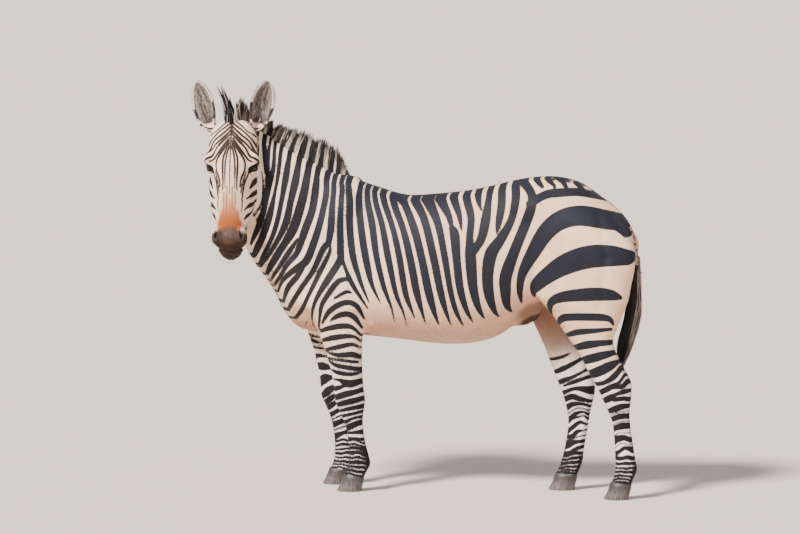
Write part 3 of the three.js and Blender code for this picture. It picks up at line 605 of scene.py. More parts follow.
def leg_strokes(text, ahead, behind, fine):
    """Strokes drawn out past a leg's edges, and thin ones in the wide gaps low down."""
    runs = []
    for rows in (table(line) for line in text.split(";")):
        if rows[:, 1].mean() < 600:
            first, last = rows[0].copy(), rows[-1].copy()
            first[:2] -= ahead * unit((rows[1] - rows[0])[:2])
            last[:2] += behind * unit((rows[-1] - rows[-2])[:2])
            rows = np.concatenate([[first], rows, [last]])
        runs.append(rows)
    runs.sort(key=lambda rows: -rows[:, 1].mean())
    spread = [along(rows, np.linspace(0, len(rows) - 1, 5)) for rows in runs]
    for upper, lower in zip(spread, spread[1:]):
        gap = (upper - lower)[:, 1].mean()
        if upper[:, 1].mean() < 420 and 38 < gap < 66:
            middle = (upper + lower) / 2
            middle[:, 2] = fine
            runs.append(middle)
    point = lambda numbers: " ".join(f"{n:.1f}" for n in numbers)
    return "; ".join(", ".join(point(numbers) for numbers in rows) for rows in runs)


RING_DROP = {"fore_left": 20, "fore_right": 8, "hind_left": 6, "hind_right": -8}
# The strokes, how far they are drawn out ahead and behind, the width of the thin ones between
# them, and how many times wider than written all of them are.
LEG_STROKES = {
    "fore_left": (FORE_LEFT_STROKES, 8, 8, 5, 1.16),
    "fore_right": (FORE_RIGHT_STROKES, 12, 44, 7, 1.42),
    "hind_left": (HIND_LEFT_STROKES, 8, 8, 5, 1.36),
    "hind_right": (HIND_RIGHT_STROKES, 10, 20, 6, 1.42),
}
LEG_PATTERNS = {}
for name, (*strokes, wider) in LEG_STROKES.items():
    low_rings = rings(LOFTS[name].rows, FETLOCK_RINGS[name], RING_DROP[name])
    LEG_PATTERNS[name] = Pattern(leg_strokes(*strokes) + "; " + low_rings, wider)

near_hind, far_hind = table(HIND_NEAR), table(HIND_FAR)
crest, back = table(NECK)[::-1], table(TRUNK)[5:14]
croup = np.array([[830.0, 1294], [885, 1264], [930, 1200]])
TOP_LINE = np.concatenate([crest[:, :2], back[:, :2], croup])


def hind_lead(z):
    """How far the far hind leg stands ahead of the near one."""
    lead = (near_hind[:, 1:3].sum(1) - far_hind[:, 1:3].sum(1)) / 2
    return np.interp(z, near_hind[::-1, 0], lead[::-1])


def top_line(x):
    return np.interp(x, *TOP_LINE.T)


# The front of the breast and neck: x and z.
FRONT_LINE = table("""-560 700, -640 790, -690 870, -738 925, -806 1020, -862 1130, -900 1235,
-912 1330, -905 1410, -905 1700""")


def leg_x(name, x, z):
    """x held a little inside the leg's front and back edges."""
    rows = LOFTS[name].rows[::-1]
    front, back = (np.interp(z, rows[:, 0], rows[:, k]) for k in (1, 2))
    return np.clip(x, front + 8, back - 8)


def dock_back(z):
    """How far back the tail's dock reaches."""
    levels = table(TAIL_DOCK)[::-1]
    return np.interp(z, levels[:, 0], levels[:, 2])


def tail_share(p):
    """1 on the tail's dock, 0 on the rump."""
    x, y, z = p.T
    return smooth(x - dock_back(z), -34, -26) * (abs(y) < 27) * (z < 1188) * (z > 960)


def body_mark(p):
    """Millimetres into a dark stripe of the trunk, neck, legs and tail."""
    x, y, z = p.T
    far = smooth(y, 10, 130) * smooth(z, 600, 720)
    lead = hind_lead(z) * smooth(y, 30, 80) * smooth(x, 280, 400)
    wx = x + lead + far * 13 * np.sin(z / 90 + 0.7)
    wz = z + far * 9 * np.sin(x / 140)
    under_top = mix(mix(26, 9, smooth(x, 400, 470)), 46, smooth(-x, 360, 440))
    under_top = under_top - 90 * smooth(x, 640, 720)
    breast = np.interp(z, FRONT_LINE[:, 1], FRONT_LINE[:, 0]) + 26
    wx = np.where((x < -480) & (z > 700), np.maximum(wx, breast), wx)
    value = BODY.at(wx, np.minimum(wz, top_line(x) - under_top))
    for name, pattern in LEG_PATTERNS.items():
        side = y < 0 if name.endswith("left") else y > 0
        side = side & ((x > HIND_X) == name.startswith("hind")) & (z < 780)
        held = leg_x(name, x[side], z[side])
        low_down = smooth(-z[side], -290, -210)
        wave = 2.2 * np.sin(held / 15 + z[side] / 31) + 1.2 * np.sin(held / 7 - z[side] / 17)
        wavy = z[side] + low_down * wave
        found = pattern.at(held, wavy) - np.maximum(abs(x[side] - held) - 25, 0)
        value[side] = np.maximum(value[side], found)
    thigh = (y > 0) & (x > 330) & (z > 625) & (z < 760)
    value[thigh] = np.maximum(value[thigh], LEG_PATTERNS["hind_left"].at(wx[thigh], wz[thigh]))
    # The inner thighs are left without stripes, so that the painted shade put there in coat_look
    # stays plain.
    inner = smooth(-abs(y), -122, -104) * smooth(z, 600, 650) * smooth(-z, -980, -860)
    value = mix(value, -Pattern.REACH, inner * smooth(x, 380, 420))
    dorsal = 9 - abs(y) - 14 * smooth(x, 800, 880)
    dorsal = np.where((x > -330) & (z > top_line(x) - 70), dorsal, -Pattern.REACH)
    value = np.maximum(value, dorsal)
    on_tail = tail_share(p) > 0.5
    bars = 5.5 - abs((z + 13) % 27 - 13.5)
    behind = smooth(x - dock_back(z), -17, -9)
    tail = np.maximum(mix(-12, bars, behind), mix(-10, 12, smooth(-z, -1030, -1000)))
    return np.where(on_tail, tail, value)


def head_share(p):
    """1 on the head, 0 on the neck."""
    out = np.zeros(len(p))
    near = p[:, 0] < NECK_X
    if near.any():
        q = p[near]
        apart = LOFTS["neck"].distance(q) - LOFTS["head"].distance(q)
        out[near] = smooth(apart, -4, 12)
    return out


def face_chart(p):
    """100 times the angle round the head from its front, and the distance down it."""
    _, u, v, half, reach, _ = LOFTS["head"].locate(p)
    return 100 * np.arctan2(abs(u) / half, v / reach), to_head(p)[:, 0]


def tone(*rgb):
    """A linear colour from the usual 0 to 255 numbers."""
    c = np.array(rgb) / 255
    return np.where(c < 0.04, c / 12.92, ((c + 0.055) / 1.055) ** 2.4)


DOCK = tone(190, 142, 122)
# The second of these is the belly's tan darkened with painted shade; the third is painted shade
# between the hind legs.
CREAM, BELLY_TAN_AND_SHADE, INNER_THIGH_SHADE = tone(248, 206, 172), tone(208, 160, 132), tone(150, 112, 92)
LEG_CREAM, NECK_CREAM, FACE_CREAM = tone(240, 226, 218), tone(248, 218, 194), tone(252, 220, 198)
TAN, ORANGE = tone(214, 154, 112), tone(170, 82, 24)
# The third of these is painted shade inside the nostrils.
MUZZLE, LIPS, NOSTRIL_SHADE = tone(66, 47, 39), tone(48, 29, 22), tone(20, 14, 12)
# The first of these is the stripes' own black with a painted blue sheen of the sky in it.
SKY_SHEEN_BLACK, LEG_BLACK, BROWN_BLACK = tone(29, 30, 40), tone(23, 19, 22), tone(42, 30, 26)
FACE_BROWN, EYE_RIM = tone(46, 29, 24), tone(20, 13, 12)
EAR_GREY, EAR_CREAM = tone(112, 98, 92), tone(228, 210, 198)


def paint(base, color, share):
    return base + (color - base) * share[:, None]


def coat_look(p, normal):
    """The coat at some places: millimetres into a dark stripe, and its pale and dark colours."""
    x, y, z = p.T
    mark = body_mark(p)
    head = head_share(p)
    leg = smooth(-z, -760, -420)
    pale = np.tile(CREAM, (len(p), 1))
    pale = paint(pale, NECK_CREAM, smooth(-x - 0.4 * (950 - z), 60, 420))
    # Painted shade: on the faces that look down under the body, the pale turns to a tan darkened as
    # if in shade.
    under = smooth(-normal[:, 2], 0.05, 0.75) * smooth(z, 560, 680) * smooth(-z, -1000, -860)
    pale = paint(pale, BELLY_TAN_AND_SHADE, under)
    # Painted shade: the inner sides of the hind legs, between them, are darkened to a plain shaded
    # brown.
    inner = smooth(-abs(y), -124, -100) * smooth(z, 560, 660) * smooth(-z, -960, -840)
    pale = paint(pale, INNER_THIGH_SHADE, inner * smooth(x, 380, 430))
    pale = paint(pale, LEG_CREAM, leg)
    pale = paint(pale, DOCK, 0.85 * tail_share(p))
    sheath = np.linalg.norm((p - [438, 0, 772]) / [56, 30, 34], axis=1)
    pale = paint(pale, tone(70, 46, 36), smooth(-sheath, -1.35, -0.95))
    # The dark of the stripes: black with a painted blue sky sheen.
    dark = np.tile(SKY_SHEEN_BLACK, (len(p), 1))
    # Painted shade: the black is darker and less blue toward the neck and the front of the
    # shoulder.
    dark = paint(dark, tone(24, 20, 24), 0.8 * smooth(-x, 380, 560))
    dark = paint(dark, BROWN_BLACK, 0.6 * smooth(-x, 260, 380) * smooth(-z, -1100, -900))
    dark = paint(dark, LEG_BLACK, leg)
    mark = mark - 3.0 * smooth(-normal[:, 2], 0.5, 0.9) * smooth(z, 560, 680)
    heel = np.where(x > HIND_X, smooth(normal[:, 0], 0.55, 0.9), smooth(normal[:, 0], 0.6, 0.95))
    mark = mark + 5 * heel * smooth(-z, -170, -120)
    near = head > 0.01
    if near.any():
        face = face_look(p[near])
        share = head[near]
        mark[near] = mix(mark[near], face[0], share)
        pale[near] = paint(pale[near], face[1], share)
        dark[near] = paint(dark[near], face[2], share)
    for sign in (-1, 1):
        ear_paint(p, sign, mark, pale, dark)
    return mark, pale, dark


def face_look(p):
    """The same three things on the head."""
    s, lateral, depth = to_head(p).T
    angle, _ = face_chart(p)
    side = abs(lateral)
    mark = FACE.at(angle, s)
    pale = np.tile(FACE_CREAM, (len(p), 1))
    pale = paint(pale, TAN, 0.55 * np.exp(-((s - 34) ** 2) / 500 - angle**2 / 900))
    pale = paint(pale, TAN, 0.7 * np.exp(-((s - 186) ** 2) / 90 - (angle - 112) ** 2 / 900))
    # Painted shade: the underside of the jaw takes the same tan, darkened as if in shade.
    pale = paint(pale, BELLY_TAN_AND_SHADE, 0.5 * smooth(angle, 240, 300))
    pale = paint(pale, TAN, 0.85 * smooth(s, 270, 390) * smooth(-side, -58, -26))
    streak = np.sin(lateral * 0.83 + 1.4 * np.sin(s / 37))
    streak = streak + 0.7 * np.sin(lateral * 0.41 + s / 90 + 2)
    reach = 23 + 30 * smooth(s, 365, 455)
    nose = smooth(s + 13 * streak, 318, 452)
    nose = nose * smooth(-side + 3 * np.sin(s / 9), -reach - 12, 10 - reach)
    pale = paint(pale, ORANGE, 0.96 * nose * smooth(depth, -75, -40))
    pale = paint(pale, tone(128, 76, 46), 0.3 * nose * smooth(streak, 0.3, 1.5))
    mark = mark - 6 * smooth(s, 415, 450) * smooth(-side, -60, -46)
    dark = np.tile(FACE_BROWN, (len(p), 1))
    # The sides of the head take the black with the painted blue sky sheen.
    dark = paint(dark, SKY_SHEEN_BLACK, 0.8 * smooth(angle, 150, 210))
    dark = paint(dark, tone(132, 84, 62), smooth(s, 290, 350) * smooth(-angle, -50, -30))
    mottle = np.sin(lateral / 5.1 + 2 * np.sin(s / 11))
    mottle = mottle * np.sin(s / 6.3 + 1.6 * np.sin(lateral / 13))
    muzzle = smooth(s + 10 * np.cos(lateral / 22) + 5 * streak, 468, 500)
    muzzle = muzzle * (1 - 0.5 * smooth(-depth, 118, 150))
    skin = np.tile(MUZZLE, (len(p), 1))
    skin = paint(skin, tone(118, 92, 78), 0.4 * smooth(-side, -34, -8) * smooth(-s, -540, -500))
    skin = paint(skin, LIPS, smooth(s, 524, 562))
    skin = skin * (1 + 0.22 * mottle)[:, None]
    # Painted shade: inside each nostril's opening the skin is darkened nearly to black.
    skin = paint(skin, NOSTRIL_SHADE, smooth(-nostril_share(s, side, depth), -1.3, -0.95))
    lip = np.exp(-(((s - 545) / 9) ** 2)) * smooth(-side, -30, -10)
    skin = paint(skin, tone(112, 72, 56), 0.35 * lip)
    pale = pale + (skin - pale) * muzzle[:, None]
    dark = dark + (skin * 0.7 - dark) * muzzle[:, None]
    mark = mix(mark, -8, muzzle)
    rim = eye_rim(s, side, depth)
    return np.maximum(mark, rim), pale, paint(dark, EYE_RIM, smooth(rim, -4, 0))

# ------------------------------------------------------------------ ears and eyes

EAR_BASE = {-1: (12, 113, -62), 1: (12, 106, -62)}
EAR_LEAN_OUT = {-1: math.radians(18), 1: math.radians(11)}
EAR_LEAN_BACK, EAR_TURN_OUT = math.radians(6), math.radians(22)
EAR_LENGTH, EAR_WALL, EAR_ROOT_INWARD = 203, 4.6, 150
EAR_TOP, EAR_TIP = 0.9, 1.004  # shares of the length between which an ear is rounded off


def ear_frame(sign):
    """Base, and the ear's own directions: up, the way its hollow faces, and across."""
    lean = EAR_LEAN_OUT[sign]
    rise = unit(
        -HEAD_DOWN * math.cos(lean)
        + HEAD_SIDE * sign * math.sin(lean)
        - HEAD_FACE * math.sin(EAR_LEAN_BACK)
    )
    facing = HEAD_FACE * math.cos(EAR_TURN_OUT) + HEAD_SIDE * sign * math.sin(EAR_TURN_OUT)
    facing = unit(facing - rise * (facing @ rise))
    below, aside, depth = EAR_BASE[sign]
    return from_head([below, sign * aside, depth]), rise, facing, np.cross(rise, facing)


def ear_rows(share):
    rows = table(EAR)
    return along(rows, np.interp(share, rows[:, 0], np.arange(len(rows))))


def ear_sweep(opening):
    """The angle from the middle of an ear's back round to its rim."""
    return np.radians((180 - opening / 2) * 0.625)


def ear_shape(share):
    """Half width, depth, sweep and taper of an ear, rounded off toward its tip."""
    _, half, cup, opening = ear_rows(np.minimum(share, EAR_TOP)).T
    taper = np.sqrt(np.clip((EAR_TIP - share) / (EAR_TIP - EAR_TOP), 0, 1))
    return half * taper, cup * taper, ear_sweep(opening), taper


def ear_middle(sign, share):
    base, rise, _, _ = ear_frame(sign)
    inward = sign * np.minimum(share, 0) * EAR_ROOT_INWARD
    return base + rise * (share * EAR_LENGTH)[:, None] + HEAD_SIDE * inward[:, None]


def ear_mesh(sign, rings_count=44, arc_count=22):
    """A thin leaf round a hollow that faces forward and outward, closed at both ends."""
    _, rise, facing, across = ear_frame(sign)
    share = np.concatenate([np.linspace(-0.16, EAR_TOP, rings_count), [0.93, 0.955, 0.975, 0.99]])
    half, cup, sweep, _ = ear_shape(share)
    middle = ear_middle(sign, share)
    middle = middle - facing * (np.clip(share - EAR_TOP, 0, 1) * 30)[:, None]
    turn = np.linspace(-1, 1, arc_count)
    wall = np.minimum(EAR_WALL, half * 0.4)
    curl = 2.0 * np.abs(turn) ** 6

    def shell(inside):
        angle = sweep[:, None] * turn[None] * (0.985 if inside else 1)
        width = (half - 1.3 - wall * inside)[:, None] - curl * inside
        reach = (cup - 1.3 - wall * inside)[:, None] - curl * inside
        ridge = inside * 1.6 * np.cos(angle * 9) * smooth(share, 0.1, 0.4)[:, None]
        place = across[None, None] * (np.sin(angle) * (width - ridge))[..., None]
        place = place - facing[None, None] * (np.cos(angle) * (reach - ridge))[..., None]
        return middle[:, None] + place

    outer, inner = shell(False), shell(True)
    points = np.concatenate([outer, inner[:, ::-1]], 1)
    return closed_rings(points, rise)


def closed_rings(rings_of_points, forward):
    """Triangles over rings of points, closed at both ends by their middles."""
    count, sides = rings_of_points.shape[:2]
    points = rings_of_points.reshape(-1, 3)
    ends = np.stack([rings_of_points[0].mean(0), rings_of_points[-1].mean(0) + forward * 0.8])
    i, k = np.meshgrid(np.arange(count - 1), np.arange(sides), indexing="ij")
    a, b = i * sides + k, i * sides + (k + 1) % sides
    faces = [np.stack([a, b, b + sides], -1), np.stack([a, b + sides, a + sides], -1)]
    faces = np.concatenate([f.reshape(-1, 3) for f in faces])
    k = np.arange(sides)
    start, end, last = len(points), len(points) + 1, (count - 1) * sides
    caps = [
        np.stack([0 * k + start, (k + 1) % sides, k], 1),
        np.stack([0 * k + end, last + k, last + (k + 1) % sides], 1),
    ]
    return outward(np.concatenate([points, ends]), np.concatenate([faces, *caps]))


def outward(points, faces):
    a, b, c = (points[faces[:, k]] for k in range(3))
    volume = (a * np.cross(b, c)).sum()
    return points, faces if volume > 0 else faces[:, ::-1]


def ear_paint(p, sign, mark, pale, dark):
    """Cream rims, a grey hollow, a dark patch low on the rim, and two dark bands on the back."""
    base, rise, facing, across = ear_frame(sign)
    ear_hand = 1 if across @ HEAD_SIDE > 0 else -1
    away = p - base
    share = away @ rise / EAR_LENGTH
    near = (share > 0.02) & (share < 1.1) & (np.linalg.norm(away, axis=1) < 260)
    near &= abs(away @ across) < 70
    s = to_head(p)[:, 0]
    near &= s < mix(4, -18, smooth(abs(away @ across), 20, 50))
    if not near.any():
        return
    q, t = p[near], share[near]
    _, half, cup, opening = ear_rows(np.clip(t, -0.2, 0.94)).T
    off = q - ear_middle(sign, t)
    u, v = off @ across, off @ facing
    reach = np.hypot(u / half, v / cup)
    angle = np.arctan2(abs(u) / half, -v / cup)
    inside = smooth(-reach, -0.965, -0.93)
    to_rim = (ear_sweep(opening) - angle) * half
    streak = 0.5 + 0.5 * np.sin(u * 0.9 + 7 * np.sin(t * 9))
    hollow = paint(np.tile(EAR_GREY, (len(q), 1)), tone(196, 178, 168), 0.35 * streak)
    # Painted shade: the hollow is darker low down toward the ear's base, where the cup is
    # narrowest.
    hollow = paint(hollow, tone(74, 60, 56), smooth(-t, -0.34, -0.12))
    skin = np.tile(EAR_CREAM, (len(q), 1))
    skin = paint(skin, tone(190, 172, 160), 0.5 * smooth(t, 0.3, 0.95))
    skin = skin + (hollow - skin) * (inside * smooth(to_rim, 3, 12))[:, None]
    bands = np.maximum(9 - abs(t - 0.7) * 130, 7 - abs(t - 0.24) * 110)
    inner_side = u * sign * ear_hand < 0
    low = smooth(-t, -0.5, -0.42) * smooth(t, 0.03, 0.1)
    width = np.where(inner_side, 17, 7)
    patch = np.minimum(width - abs(to_rim + np.where(inner_side, 4, -2)), mix(-15, 15, low))
    stripe = np.maximum(np.where(inside < 0.5, bands, -12), patch)
    share_here = smooth(t, 0.02, 0.1)
    mark[near] = mix(mark[near], stripe, share_here)
    pale[near] = paint(pale[near], skin, share_here)
    dark[near] = paint(dark[near], tone(44, 36, 36), share_here)


LID_RADIUS, LID_HALF_LENGTH, LID_HALF_HEIGHT = 23.2, 17.5, 11.0
EYE_OUT = unit(np.array([-0.05, 0.9, 0.42]))  # down the head, sideways, out of the face
EYE_LONG = np.array([0.52, -0.36, 0.78])  # along the slit between the lids
EYE_LONG = unit(EYE_LONG - EYE_OUT * (EYE_LONG @ EYE_OUT))
EYE_HIGH = np.cross(EYE_LONG, EYE_OUT)


def eye_places(s, side, depth):
    """Round either eye: its distance, and places out of, along and above the slit."""
    away = np.stack([s, side, depth], 1) - EYE
    distance = np.linalg.norm(away, axis=1)
    turn = away / np.maximum(distance, 1e-6)[:, None] * LID_RADIUS
    out = turn @ EYE_OUT
    return distance, out, turn @ EYE_LONG, turn @ EYE_HIGH


def almond(long, high):
    """1 on the edge of the opening, less inside it."""
    bent = high + 0.005 * long**2 - 0.7
    return (abs(long) / LID_HALF_LENGTH) ** 1.7 + (abs(bent) / LID_HALF_HEIGHT) ** 1.7


def eye_rim(s, side, depth):
    """Millimetres into the dark rim of an eye."""
    distance, out, long, high = eye_places(s, side, depth)
    edge = (almond(long, high) ** 0.6 - 1) * LID_HALF_HEIGHT
    rim = np.where(out > -2, mix(7, 10, high > 0) - edge, -Pattern.REACH)
    return np.maximum(rim - np.maximum(distance - 34, 0), -Pattern.REACH)

# ------------------------------------------------------------------ relief of the skin

# On both flanks: two ends (x z x z), radius and how far the skin moves out.
RELIEF = """-430 1330 -515 1020 22 3, -490 1330 -585 1040 26 -3.5, -330 1200 -285 900 30 -5,
-560 930 -556 926 45 4, -370 1010 -380 960 65 5, -300 830 -302 824 24 5, -262 870 -250 760 18 -5,
-520 790 -470 700 18 -4, 400 1230 420 1180 60 -7, 455 1010 500 830 22 6, 420 1000 455 850 20 -4,
510 890 514 880 28 4, 770 1260 812 1060 20 -5, 812 1060 790 850 20 -5, 640 1180 600 930 26 -3.5,
690 740 740 600 18 -3, 850 640 880 520 10 3, 905 470 907 462 18 3, 838 560 868 490 13 -5,
815 455 817 447 15 3, 892 400 897 230 7 -2.6, 905 178 906 170 18 2.5, 885 116 887 110 12 -2,
-370 660 -340 480 14 -3, -345 415 -344 400 26 2.5, -303 350 -299 220 7 -2.6,
-298 165 -298 158 18 2.5, -855 1180 -700 900 20 -4, -800 1480 -560 1180 26 -2.5,
-800 1250 -620 1000 34 3"""
# On both sides of the head: two ends (down, aside, depth), radius and how far out.
FACE_RELIEF = """120 84 -22 124 84 -24 20 -4, 168 84 -16 176 88 -18 12 -4.5,
236 80 -18 262 76 -20 11 -2.5, 246 96 -104 350 84 -74 9 3.5, 200 0 20 430 0 0 22 1.6,
352 60 -30 410 58 -34 20 -4, 300 88 -190 390 80 -168 14 -3, 470 54 -46 486 54 -44 16 2,
540 30 -12 548 0 -12 14 1.5, 584 14 -60 590 0 -60 9 2, 560 40 -100 580 0 -130 20 1.5"""
RIB_SPACING = 56
NOSTRIL = np.array([511.0, 57])
NOSTRIL_HALF_LENGTH, NOSTRIL_HALF_WIDTH, NOSTRIL_TILT = 18, 7.5, math.radians(16)


def to_segment(q, a, b):
    run = b - a
    t = np.clip((q - a) @ run / (run @ run), 0, 1)
    return np.linalg.norm(q - a - t[:, None] * run, axis=1)


def nostril_share(s, side, depth):
    """1 on a nostril's edge, less inside it."""
    c, n = math.cos(NOSTRIL_TILT), math.sin(NOSTRIL_TILT)
    ds, dl = s - NOSTRIL[0], side - NOSTRIL[1]
    long, wide = ds * c + dl * n, dl * c - ds * n + 0.012 * ds**2
    share = np.hypot(long / NOSTRIL_HALF_LENGTH, wide / NOSTRIL_HALF_WIDTH)
    return np.where(depth > -70, share, 9)


def mouth_line(s, side, depth):
    """Millimetres below the line between the lips."""
    return s - (584 - 0.007 * side**2 + 0.3 * np.minimum(depth + 70, 0))


def relief(p, normal):
    """How far the skin moves out along its normal."""
    x, y, z = p.T
    lead = np.where(x > HIND_X, hind_lead(z), FORE_SHIFT * smooth(940 - z, 0, 240))
    lead = lead * np.where(x > HIND_X, smooth(x, 280, 400), smooth(-x, 220, 320))
    lead = lead * smooth(y, 20, 60)
    q = np.stack([x + lead, z], 1)
    flank = smooth(abs(normal[:, 1]), 0.25, 0.75)
    out = np.zeros(len(p))
    for n in table(RELIEF):
        out += n[5] * np.exp(-((to_segment(q, n[:2], n[2:4]) / n[4]) ** 2))
    ribs = smooth(x, -240, -160) * smooth(-x, -340, -240)
    ribs = ribs * smooth(z, 800, 880) * smooth(-z, -1230, -1120)
    out += ribs * 0.9 * np.sin((x + 0.22 * z) * 2 * math.pi / RIB_SPACING)
    out *= flank * (1 - head_share(p))
    near = p[:, 0] < HEAD_X
    if near.any():
        out[near] += face_relief(p[near]) * head_share(p[near])
    return out


def face_relief(p):
    s, lateral, depth = to_head(p).T
    side = abs(lateral)
    q = np.stack([s, side, depth], 1)
    out = np.zeros(len(p))
    for n in table(FACE_RELIEF):
        out += n[7] * np.exp(-((to_segment(q, n[:3], n[3:6]) / n[6]) ** 2))
    share = nostril_share(s, side, depth)
    out += 2.4 * np.exp(-(((share - 1.45) / 0.3) ** 2)) - 12 * smooth(-share, -1.15, -0.55)
    line = mouth_line(s, side, depth)
    lips = smooth(s, 500, 520) * smooth(depth, -118, -100)
    out += lips * (1.6 * np.exp(-((abs(line) - 8) / 5) ** 2) - 4.5 * np.exp(-((line / 2.6) ** 2)))
    return out


def around_eyes(p):
    """Lids over the eyeballs, with an almond opening, a thick margin and folds."""
    s, lateral, depth = to_head(p).T
    side, sign = abs(lateral), np.sign(lateral)
    distance, out, long, high = eye_places(s, side, depth)
    near = (distance < 42) & (out > -6)
    if not near.any():
        return p
    d, long, high, out = distance[near], long[near], high[near], out[near]
    share = almond(long, high)
    lid = LID_RADIUS + 1.3 * np.exp(-(((share - 1.35) / 0.3) ** 2))
    lid += np.where(high > 0, 1.2, 0.7) * np.exp(-(((share - 3.2) / 0.7) ** 2))
    lid -= 1.6 * np.exp(-(((share - 2.3) / 0.5) ** 2))
    lid = np.where(out > 0, lid, LID_RADIUS - 4)
    k = 5.0
    blend = np.maximum(k - abs(d - lid), 0) / k
    covered = np.maximum(d, lid) + blend * blend * k / 4
    opened = np.where(out > 0, smooth(-share, -1.12, -0.86), 0)
    reach = mix(covered, np.minimum(d, EYE_RADIUS - 5.5), opened)
    away = np.stack([s, side, depth], 1)[near] - EYE
    place = EYE + unit(away) * reach[:, None]
    place[:, 1] *= sign[near]
    p = p.copy()
    p[near] = from_head(place)
    return p


def vertex_normals(points, faces):
    a, b, c = (points[faces[:, k]] for k in range(3))
    n = np.cross(b - a, c - a)
    total = np.zeros_like(points)
    for k in range(3):
        for axis in range(3):
            total[:, axis] += np.bincount(faces[:, k], n[:, axis], len(points))
    return unit(total)


def target_length(p):
    """How long the edges of the skin's mesh may be: shortest round the eyes, then round the
    nostrils and lips, on the stripes' edges, on the head and on the legs."""
    s, lateral, depth = to_head(p).T
    side = abs(lateral)
    eye = eye_places(s, side, depth)[0]
    share = nostril_share(s, side, depth)
    line = abs(mouth_line(s, side, depth))
    on_head = p[:, 0] < HEAD_X
    seen = (depth > -250) & (s > -40)
    head = np.where(seen, 5.4, 12.5)
    head = np.where(seen & (abs(face_mark(p, on_head)) < 3.5), 3.6, head)
    head = np.where((line < 9) & (s > 490) & (depth > -120), 3.2, head)
    head = np.where((share < 2.2) & (s > 470), 2.9, head)
    head = np.where(eye < 40, 2.3, head)
    edge = abs(body_mark(p)) < 4
    low = p[:, 2] < 560
    body = np.where(edge, np.where(low, 6.0, 8.0), np.where(low, 9.0, 15.5))
    return np.where(on_head & (s < 680) & (head_share(p) > 0.5), head, body)


def face_mark(p, where):
    out = np.full(len(p), -Pattern.REACH)
    if where.any():
        angle, s = face_chart(p[where])
        out[where] = FACE.at(angle, s)
    return out


def mesh_object(name, points, faces, material=None):
    """A mesh object from triangles, with its vertices moved into the CAD's frame."""
    me = bpy.data.meshes.new(name)
    me.vertices.add(len(points))
    me.vertices.foreach_set("co", row(points).astype(np.float32).ravel())
    me.loops.add(faces.size)
    me.loops.foreach_set("vertex_index", faces.astype(np.int32).ravel())
    me.polygons.add(len(faces))
    me.polygons.foreach_set("loop_start", np.arange(0, faces.size, 3, dtype=np.int32))
    me.update(calc_edges=True)
    me.polygons.foreach_set("use_smooth", np.ones(len(faces), bool))
    if material is not None:
        me.materials.append(material)
    ob = bpy.data.objects.new(name, me)
    bpy.context.scene.collection.objects.link(ob)
    return ob


def attribute(ob, name, values):
    """A number or a colour on each vertex."""
    values = np.asarray(values, np.float32)
    if values.ndim == 1:
        ob.data.attributes.new(name, "FLOAT", "POINT").data.foreach_set("value", values)
    else:
        rgba = np.concatenate([values, np.ones((len(values), 1), np.float32)], 1)
        data = ob.data.attributes.new(name, "FLOAT_COLOR", "POINT").data
        data.foreach_set("color", np.clip(rgba, 0, 1).ravel())


def triangles_of(ob):
    me = ob.data
    me.calc_loop_triangles()
    co = np.empty(len(me.vertices) * 3, np.float32)
    me.vertices.foreach_get("co", co)
    tri = np.empty(len(me.loop_triangles) * 3, np.int32)
    me.loop_triangles.foreach_get("vertices", tri)
    return co.reshape(-1, 3).astype(float) * 1000 - SHIFT, tri.reshape(-1, 3)


def joined(points, faces, others):
    """The skin and the ears as one closed surface."""
    body = mesh_object("join_body", points, faces)
    for points, faces in others:
        tool = mesh_object("join_tool", points, faces)
        change = body.modifiers.new("join", "BOOLEAN")
        change.operation, change.solver, change.object = "UNION", "MANIFOLD", tool
        bpy.context.view_layer.update()
        made = bpy.data.meshes.new_from_object(
            body.evaluated_get(bpy.context.evaluated_depsgraph_get())
        )
        body.modifiers.clear()
        body.data = made
        bpy.data.objects.remove(tool)
    out = triangles_of(body)
    bpy.data.objects.remove(body)
    return out


points, faces = skin_net()
points = onto_skin(relaxed(points, faces, 2), 2)
for _ in range(4):
    points, faces = refine(points, faces, target_length)
points = onto_skin(relaxed(points, faces, 2), 1)
points, faces = joined(points, faces, [ear_mesh(-1), ear_mesh(1)])
q = to_head(points)
by_ear = smooth(-abs(q[:, 0] - 4), -46, -26) * smooth(-abs(abs(q[:, 1]) - 108), -58, -40)
by_ear *= smooth(-abs(in_chunks(field, points)), -13, -7)
points = relaxed(points, faces, 8, 0.5, by_ear)
normals = vertex_normals(points, faces)
points = points + normals * relief(points, normals)[:, None]
points = around_eyes(points)
by_eye = eye_places(q[:, 0], abs(q[:, 1]), q[:, 2])[0] < 40
points = relaxed(points, faces, 1, 0.3, by_eye * 1.0)
normals = vertex_normals(points, faces)

# ------------------------------------------------------------------ materials


